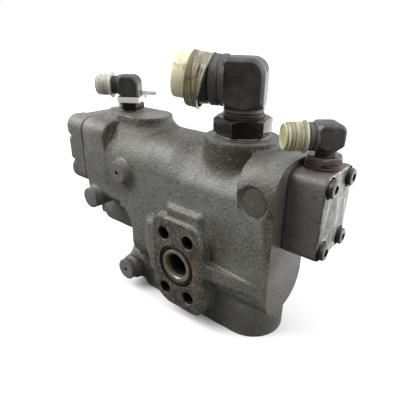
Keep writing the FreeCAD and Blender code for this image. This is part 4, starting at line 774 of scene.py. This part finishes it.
def pilot_cover():
    """The block on the right with the pilot piston, its face rubbed bright."""
    f = Field((85, 19, 36), (119, 73, 108), 0.7)
    f.add(f.bar((22, 70), (39.5, 105), (8, 8, 8, 8), (RIGHT_FACE, 116), 1.5), 0)
    cover = cast_skin(f.mesh("pilot_cover_block", M["pilot_cover_paint"]), 0.35)
    bare(cover, M["rubbed_paint"], lambda x, y, z: x > RUBBED_FROM)
    for place in PILOT_SCREWS:
        at = (120, *place)
        boolean(cover, bore(at, MINUS_X, 7.8, 8.0, segments=48))
        boolean(cover, bore(at, MINUS_X, 4.5, 34, segments=32))
    for start, direction, radius, length in (
            ((86, PLANE, SPOOL_Z), X, 15.05, 22), ((PILOT_X, PLANE, SPOOL_Z), Z, 3.5, 33),
            ((PILOT_X, PLANE, 92), Z, 7.1, 20), ((PILOT_X, PLANE, 102.9), Z, 9.2, 5)):
        boolean(cover, bore(start, direction, radius, length))
    piece(cover, Matrix(), "pilot_cover", "root", 35)


def threads(start, end, radius, pitch, depth):
    """Outline points of a rolled thread drawn as rings."""
    points = [(start, radius - depth)]
    at = start
    while at + pitch < end:
        points += [(at + 0.25 * pitch, radius), (at + 0.55 * pitch, radius),
                   (at + 0.9 * pitch, radius - depth)]
        at += pitch
    return points + [(end, radius - depth)]


def socket_screw(name, seat, direction, shank, head, high, under, key):
    """A socket-head screw: chamfered head with a ring of knurling and a hexagon key hole."""
    r, s = head / 2, shank / 2
    outline = [(-under, 0), (-under, s - 0.8), (-under + 0.8, s),
               *threads(-under + 1, -4, s, 1.5, 0.5),
               (-3.8, s), (0, s), (0, r - 0.3), (0.3, r)]
    at = knurl = 0.9
    while at < high - 2.0:
        outline += [(at, r), (at + 0.2, r - 0.16), (at + 0.5, r - 0.16), (at + 0.7, r)]
        at += knurl
    outline += [(high - 1.1, r), (high - 0.4, r - 0.35), (high, r - 1.1), (high, 0)]
    screw = lathe(name, outline, seat, direction, M["screw_steel"], 48)
    axis = Vector(direction)
    side = axis.orthogonal().normalized()
    other = axis.cross(side)
    start = Vector(seat) + axis * (high - 4.0)
    verts = []
    for along in (0.0, 6.0):
        for i in range(6):
            a = math.radians(60 * i + 11)
            spoke = (side * math.cos(a) + other * math.sin(a)) * (key / math.sqrt(3))
            verts.append(start + axis * along + spoke)
    # the key socket's walls get painted shade
    return boolean(screw, hexagon("key", verts, M["hole_dark"]))


def screw_group(name, node, seats, direction, **sizes):
    screws = [socket_screw(f"{name}_{i}", seat, direction, **sizes)
              for i, seat in enumerate(seats)]
    for screw in screws:
        smooth(screw, 30)
        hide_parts(node)
        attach(screw, "root")


def port_sleeve():
    """The hardened sleeve in the flange port, with a turned mouth."""
    bore_radius, tool_mark = 11.5, 0.12
    outline = [(1.2, 11.7), (0.3, 12.4), (0.05, 13.0), (0.0, 13.6), (0.0, 15.2), (0.25, 15.8),
               (3.0, 15.85), (3.0, 14.0), (24, 14.0), (24, bore_radius)]
    for i in range(12):
        outline.append((22 - 1.7 * i, bore_radius + (tool_mark if i % 2 else 0.0)))
    sleeve = lathe("port_sleeve", outline, ORIGIN, Y, M["sleeve_steel"], 96, ring=True)
    # painted shade down the inside of the sleeve's bore
    bare(sleeve, M["hole_dark"], lambda x, y, z: y > 4.5 and math.hypot(x, z) < 12.3)
    piece(sleeve, Matrix(), "flange_port_sleeve", "root", 30)


# -------- elbows
# half, low, top: the forged block's half width, underside and top; foot: how wide its
# underside is turned, as a share of half; rise: height of the arm; step: grid of the field
SMALL_ELBOW = dict(foot=0.78, bevel=1.8, stud=7.0, bore=3.5, pitch=1.5, step=0.3)
ELBOWS = {
    "main": Sizes(at=(BOSS_X, PLANE, BOSS_TOP), turn=25.0, half=16.25, low=20.0, rise=41.4,
        top=59.0, foot=0.97, corner=12.0, bevel=2.8, stud=16.65, depth=20.0,
        collar=19.0, arm=18.25, reach=37.5, shoulder=9.0, bore=11.0, pitch=2.0,
        nut=41.0, nut_low=2.5, nut_high=16.0, nut_turn=18.6, washer=23.0, step=0.4,
        nut_slot="locknut_steel", washer_slot="washer_steel"),
    "pilot": Sizes(**SMALL_ELBOW, at=(PILOT_X, PLANE, 105.0), turn=44.0, half=10.0, low=10.5,
        rise=21.5, top=31.5, corner=6.0, depth=11.0, collar=9.7, arm=8.75,
        reach=28.0, shoulder=5.0, nut=24.0, nut_low=3.5, nut_high=9.0,
        nut_turn=10.0, washer=13.7, nut_slot="washer_steel",
        washer_slot="rusty_seal"),
    "drain": Sizes(**SMALL_ELBOW, at=(OVAL_X[0], PLANE, OVAL_TOP), turn=33.0, half=9.75,
        low=8.8, rise=23.5, top=33.25, corner=8.0, depth=13.0, collar=9.45,
        arm=8.5, reach=29.0, shoulder=1.5, nut=22.0, nut_low=1.5, nut_high=8.5,
        nut_turn=5.0, washer=12.0, nut_slot="locknut_steel",
        washer_slot="washer_steel"),
}
# the neck above the nut: share of the gap to the block, share of the stud's radius taken off
NECK = ((0.25, 0.11), (0.42, 0.11), (0.5, 0.03), (0.66, 0.03), (0.74, 0.12))


def seat_matrix(e):
    """From an elbow's own frame, arm along -X and stud down, to the frame of the valve."""
    place = Matrix.Translation(Vector(e.at) * MM)
    return place @ Matrix.Rotation(math.radians(e.turn), 4, "Z")


def forged_block(name, e):
    """The forged body: a round outer corner, bevelled rims and turned ends."""
    h = e.half
    f = Field((-h - 2, -h - 2, e.low - 2), (h + 2, h + 2, e.top + 2), e.step)
    side = f.plate(f.x, f.z, (-h, h), (e.low, e.top), (0.8, 2.5, 1.2, e.corner))
    f.add(f.prism(side, f.y, (-h, h), 0.5), 0)
    f.cut(-(side + np.abs(f.y) - h + e.bevel) * math.sqrt(0.5), 0.6)
    below = (np.sqrt(f.x ** 2 + f.y ** 2)
             - (h * e.foot + np.maximum(f.z - e.low - 0.16 * h, 0) * 1.15)) * 0.68
    f.cut(-below, 0.8)
    beside = (np.sqrt(f.y ** 2 + (f.z - e.rise) ** 2)
              - (e.collar + 0.25 + np.maximum(f.x + h - 0.06 * h, 0) * 1.3)) * 0.62
    f.cut(-beside, 0.8)
    return f.mesh(name, M["elbow_steel"])


def elbow(name, e):
    """The forging with its threaded stud, collar, threaded arm and bores."""
    mat = M["elbow_steel"]
    body = forged_block(name + "_elbow_forging", e)
    r, low, deep, nut, h, s = e.stud, e.low, e.depth, e.nut_high, e.half, e.shoulder
    gap = low - nut
    stud = [(-deep, 0), (-deep, r - 1.2), *threads(-deep + 1, nut + 0.2, r, e.pitch, 0.7)]
    stud += [(nut + share * gap, r - waist * r) for share, waist in NECK]
    stud += [(low - 0.12 * gap, r - 0.12 * r), (low + 0.02, r - 0.04 * r),
             (low + 2, r - 0.04 * r), (low + 2, 0)]
    boolean(body, lathe("stud", stud, ORIGIN, Z, mat, 96), "UNION")
    root, face = h - e.bevel, h + s
    c, a, b = e.collar, e.arm, e.bore
    arm = [(root, 0), (root, c + 0.2), (h + 0.12 * s, c + 0.2), (h + 0.2 * s, c - 0.5),
           (h + 0.3 * s, c - 0.5), (h + 0.36 * s, c), (face - 0.5, c), (face, c - 0.5),
           (face, a - 0.1 * a), (face + 1.4, a - 0.1 * a),
           *threads(face + 1.8, e.reach - 1.2, a, e.pitch, 0.75),
           (e.reach, a - 1.2), (e.reach, 0)]
    boolean(body, lathe("arm", arm, (0, 0, e.rise), MINUS_X, mat, 96), "UNION")
    boolean(body, bore((0, 0, -deep - 1), Z, b, e.rise + deep + 1))
    mouth = [(-1, 0), (-1, b + 2.5), (1.5, b), (e.reach, b), (e.reach + 0.6 * b, 0)]
    # the arm's mouth gets painted shade
    boolean(body, lathe("mouth", mouth, (-e.reach, 0, e.rise), X, M["hole_dark"]))
    body.name = name + "_elbow_forging"
    piece(body, seat_matrix(e), name + "_elbow", "root", 28)


def broken_edges(obj, width, degrees=25.0):
    """Rounds the sharp edges of a mesh."""
    mod = obj.modifiers.new("edges", "BEVEL")
    mod.width = width * MM
    mod.segments = 2
    mod.limit_method = "ANGLE"
    mod.angle_limit = math.radians(degrees)
    applied(obj)


def lock_nut(name, e):
    """A hexagon nut with both ends chamfered."""
    mat, low, high = M[e.nut_slot], e.nut_low, e.nut_high
    radius = e.nut / math.sqrt(3)
    angles = [math.radians(60 * i + e.nut_turn) for i in range(6)]
    nut = hexagon(name + "_nut", [(radius * math.cos(a), radius * math.sin(a), z)
                                  for z in (low, high) for a in angles], mat)
    top, wide = e.nut / 2 - 0.4, radius + 0.5
    rise = (wide - top) * math.tan(math.radians(28))
    turned = [(low, 0), (low, top), (low + rise, wide), (high - rise, wide), (high, top),
              (high, 0)]
    boolean(nut, lathe("turned", turned, ORIGIN, Z, mat, 96), "INTERSECT")
    broken_edges(nut, 0.25)
    boolean(nut, bore((0, 0, low - 1), Z, e.stud + 0.1, high - low + 2, mat, 96))
    piece(nut, seat_matrix(e), name + "_elbow_locknut", "root", 24)


def seat_washer(name, e):
    """A thick washer with a turned step."""
    high, wide, inner = e.nut_low, e.washer, e.stud + 0.1
    outline = [(0, inner), (0, wide - 0.3), (0.3, wide), (high * 0.45, wide),
               (high * 0.55, wide - 0.35), (high * 0.6, wide - 1.0), (high - 0.3, wide - 1.1),
               (high, wide - 1.4), (high, inner)]
    ring = lathe(name + "_washer", outline, ORIGIN, Z, M[e.washer_slot], 96, ring=True)
    piece(ring, seat_matrix(e), name + "_elbow_washer", "root", 30)


spring_cover()
pilot_cover()
screw_group("pilot_screw", "pilot_cover_screws", [(112.0, *place) for place in PILOT_SCREWS],
            X, shank=7.8, head=13.0, high=8.0, under=38.0, key=6.0)
screw_group("spring_screw", "spring_cover_screws",
            [(LUG_SEAT, *place) for place in SPRING_SCREWS],
            MINUS_X, shank=9.8, head=16.0, high=10.0, under=35.0, key=8.0)
port_sleeve()
for name, e in ELBOWS.items():
    elbow(name, e)
    lock_nut(name, e)
    seat_washer(name, e)


# -------- transport caps
# start, depth: where the open rim lies on the arm and how long the cap is; skirt, step: where
# the ribbed skirt ends outside and inside; end: radius of the closed end; rings: how far the
# thread shows through; skew, sag, tilt, lift: how the cap was pushed askew
SMALL_CAP = dict(wall=1.2, tilt=0.0, lift=0.0, pitch=2.0, skew=0.0, sag=0.0)
CAPS = {
    "main": Sizes(inner=19.9, wall=1.1, start=29.0, depth=25.0, lip=1.0, skirt=13.04,
        end=17.2, step=11.54, tilt=8.0, lift=0.4, pitch=2.6, ridge=0.28, skew=0.16,
        rings=13.8, sag=1.2),
    "pilot": Sizes(**SMALL_CAP, inner=8.85, start=15.8, depth=15.7, lip=1.4, skirt=13.0,
        end=9.35, step=12.7, ridge=0.45, rings=14.8),
    "drain": Sizes(**SMALL_CAP, inner=8.6, start=16.5, depth=15.5, lip=2.2, skirt=13.2,
        end=9.1, step=13.0, ridge=0.35, rings=14.0),
}
# the dished end: distance before the depth, and radius taken off the end
DISH = ((1.0, 0.05), (0.45, 0.3), (0.1, 0.8), (0, 1.3), (0.05, 1.9), (0.45, 2.2))
WALL_RINGS = 8  # rows of points along the skirt's inside, for the waves
LONG_END = 6  # an end longer than this gets rows of its own


def cap_outline(cap):
    """Outline of a cap, open at 0 on its own X axis, with its closed end at the depth."""
    depth, skirt, end, step, inner = cap.depth, cap.skirt, cap.end, cap.step, cap.inner
    outer = inner + cap.wall
    hollow = min(inner, end - cap.wall)
    lip = outer + cap.lip
    outline = [(depth - cap.wall, 0), (depth - cap.wall, hollow), (step + 1, hollow),
               (step, inner)]
    outline += [(step * (1 - (i + 1) / WALL_RINGS), inner) for i in range(WALL_RINGS)]
    outline += [(0.15, lip - 0.15), (0.4, lip), (0.8, lip), (1.05, lip - 0.25),
                (1.5, outer + 0.15)]
    at = 2.2
    while at + cap.pitch < skirt:
        outline += [(at, outer), (at + 0.3 * cap.pitch, outer),
                    (at + 0.42 * cap.pitch, outer - cap.ridge),
                    (at + 0.82 * cap.pitch, outer - cap.ridge)]
        at += cap.pitch
    outline += [(skirt - 0.2, outer), (skirt, outer - 0.1), (skirt + 0.4, (outer + end) / 2),
                (skirt + 0.7, end - 0.5), (skirt + 1.2, end - 0.5), (skirt + 1.4, end)]
    if depth - skirt > LONG_END:
        outline += [(skirt + 1.4 + (depth - 2.6 - skirt) * i / 6, end) for i in range(1, 6)]
    outline += [(depth - before, end - less) for before, less in DISH]
    return outline + [(depth - 0.5, end * 0.45), (depth - 0.35, end * 0.25), (depth - 0.35, 0)]


def transport_cap(name, cap, e):
    """A push-on cap of soft plastic, uneven and pushed a little askew."""
    slot = name + "_cap_plastic"
    obj = lathe(name + "_cap", cap_outline(cap), ORIGIN, X, M[slot], 96)
    co = vectors(obj.data) / MM
    fade = np.clip(1 - co[:, 0] / (0.55 * cap.skirt), 0, 1)
    wave = value_noise(co * np.array((0.3, 1, 1), np.float32) + 40.0 * len(name), 6.0, 11)
    co[:, 0] -= fade * cap.skew * co[:, 2]
    co[:, 2] -= cap.sag * np.clip((cap.skirt + 1 - co[:, 0]) / 2.0, 0, 1)
    spread = 1 + (0.01 + 0.02 * fade) * wave
    co[:, 1] *= spread
    co[:, 2] *= spread
    set_places(obj.data, co * MM)
    bare(obj, M[name + "_cap_skirt"], lambda x, y, z: x < cap.rings)
    own = (Matrix.Translation(Vector((-cap.start, 0, e.rise + cap.lift)) * MM)
           @ Matrix.Rotation(math.pi, 4, "Z"))
    pivot = Vector((-(cap.start + e.reach) / 2, 0, e.rise)) * MM
    lean = (Matrix.Translation(pivot) @ Matrix.Rotation(math.radians(cap.tilt), 4, "Y")
            @ Matrix.Translation(-pivot))
    piece(obj, seat_matrix(e) @ lean @ own, name + "_elbow_cap", name + "_cap", 40)


for name, cap in CAPS.items():
    transport_cap(name, cap, ELBOWS[name])


# -------- stage, light and camera
FLOOR_BOUNCE = (0.16,) * 3  # the floor as the valve is lit by it
FLOOR_MIRRORED = (0.04,) * 3  # and as the valve mirrors it, on the side of the camera
FLOOR_HALF = 4000.0
ROOM = 0.05  # light from every other direction
# the bright sides of the studio: direction, start and end of the slope, strength
SKY = (((0, 0, 1), 0.45, 0.95, 0.7), ((-0.45, 0.85, 0.25), 0.15, 0.85, 0.6),
       ((0.85, 0.5, 0.12), 0.35, 0.92, 2.6), ((-0.92, -0.35, 0.15), 0.55, 0.95, 1.0))
# the camera, solved from the flange pattern and the housing's edges
FOCAL_PX, HALF_FRAME_PX = 389.957, 208.0
YAW, PITCH, ROLL = math.radians(38.5548), math.radians(25.303), math.radians(-1.0316)
CAMERA_AT = (202.2206, -209.019, 194.5589)


def stage_floor():
    """A pale floor that the camera sees, darker where it lights the valve."""
    n = Paint("floor_grey")
    shade = n.ramp(n.noise(3.0, 2.0), (0.3, 0.9), (0.7, 0.94))
    rays = n.new("LightPath").outputs
    y = n.new("SeparateXYZ", {0: n.where}).outputs["Y"]
    mirrored = n.mix(n.ramp(y, (0.06, 0.0), (0.25, 1.0)), FLOOR_MIRRORED, shade)
    bounced = n.mix(rays["Is Glossy Ray"], FLOOR_BOUNCE, mirrored)
    n.put(n.mix(rays["Is Camera Ray"], bounced, shade), n.shader.inputs["Base Color"])
    n.put(0.7, n.shader.inputs["Roughness"])
    size = FLOOR_HALF
    floor = new_object("floor", [(-size, -size, FOOT_FACE), (size, -size, FOOT_FACE),
                                 (size, size, FOOT_FACE), (-size, size, FOOT_FACE)],
                       [(0, 1, 2, 3)], M["floor_grey"])


def lighting():
    """A white studio with a bright top and bright sides, darker on the side of the camera."""
    world = bpy.context.scene.world = bpy.data.worlds.new("studio")
    n = Nodes(world, "Generated")
    level = ROOM
    for toward, low, high, bright in SKY:
        facing = n.vector("DOT_PRODUCT", n.where, Vector(toward).normalized())["Value"]
        rise = n.new("MapRange", {"Value": facing, "From Min": low, "From Max": high,
                                  "To Max": bright}, interpolation_type="SMOOTHSTEP")
        level = n.math("ADD", level, rise.outputs["Result"])
    lit = n.new("Background", {"Color": WHITE, "Strength": level})
    white = n.new("Background", {"Color": WHITE, "Strength": 1.0})
    seen_by_camera = n.new("LightPath").outputs["Is Camera Ray"]
    mix = n.new("MixShader", {0: seen_by_camera, 1: lit.outputs[0], 2: white.outputs[0]})
    n.new("OutputWorld", {"Surface": mix.outputs[0]})
    lamp("key", (-0.6, -0.46, 0.65), energy=2.9, angle=40)
    lamp("top", (0.05, -0.05, 0.99), energy=0.6, angle=60)


def lamp(name, toward, energy, angle):
    """A soft lamp far away in the given direction."""
    data = bpy.data.lights.new(name, "SUN")
    data.energy = energy
    data.angle = math.radians(angle)
    obj = bpy.data.objects.new(name, data)
    obj.rotation_mode = "QUATERNION"
    obj.rotation_quaternion = (-Vector(toward)).to_track_quat("-Z", "Y")
    bpy.context.scene.collection.objects.link(obj)


def photo_camera():
    forward = Vector((-math.sin(YAW) * math.cos(PITCH), math.cos(YAW) * math.cos(PITCH),
                      -math.sin(PITCH)))
    level = Vector((math.cos(YAW), math.sin(YAW), 0))
    down = forward.cross(level)
    right = level * math.cos(ROLL) + down * math.sin(ROLL)
    below = down * math.cos(ROLL) - level * math.sin(ROLL)
    data = bpy.data.cameras.new("camera")
    data.sensor_width = 36.0
    data.lens = FOCAL_PX / (2 * HALF_FRAME_PX) * data.sensor_width
    data.clip_start, data.clip_end = 0.01, 20.0
    cam = bpy.data.objects.new("camera", data)
    turn = Matrix((right, -below, -forward)).transposed()
    cam.matrix_world = Matrix.Translation(Vector(CAMERA_AT) * MM) @ turn.to_4x4()
    bpy.context.scene.collection.objects.link(cam)
    bpy.context.scene.camera = cam


stage_floor()
lighting()
photo_camera()
bpy.context.scene.view_settings.view_transform = "Standard"
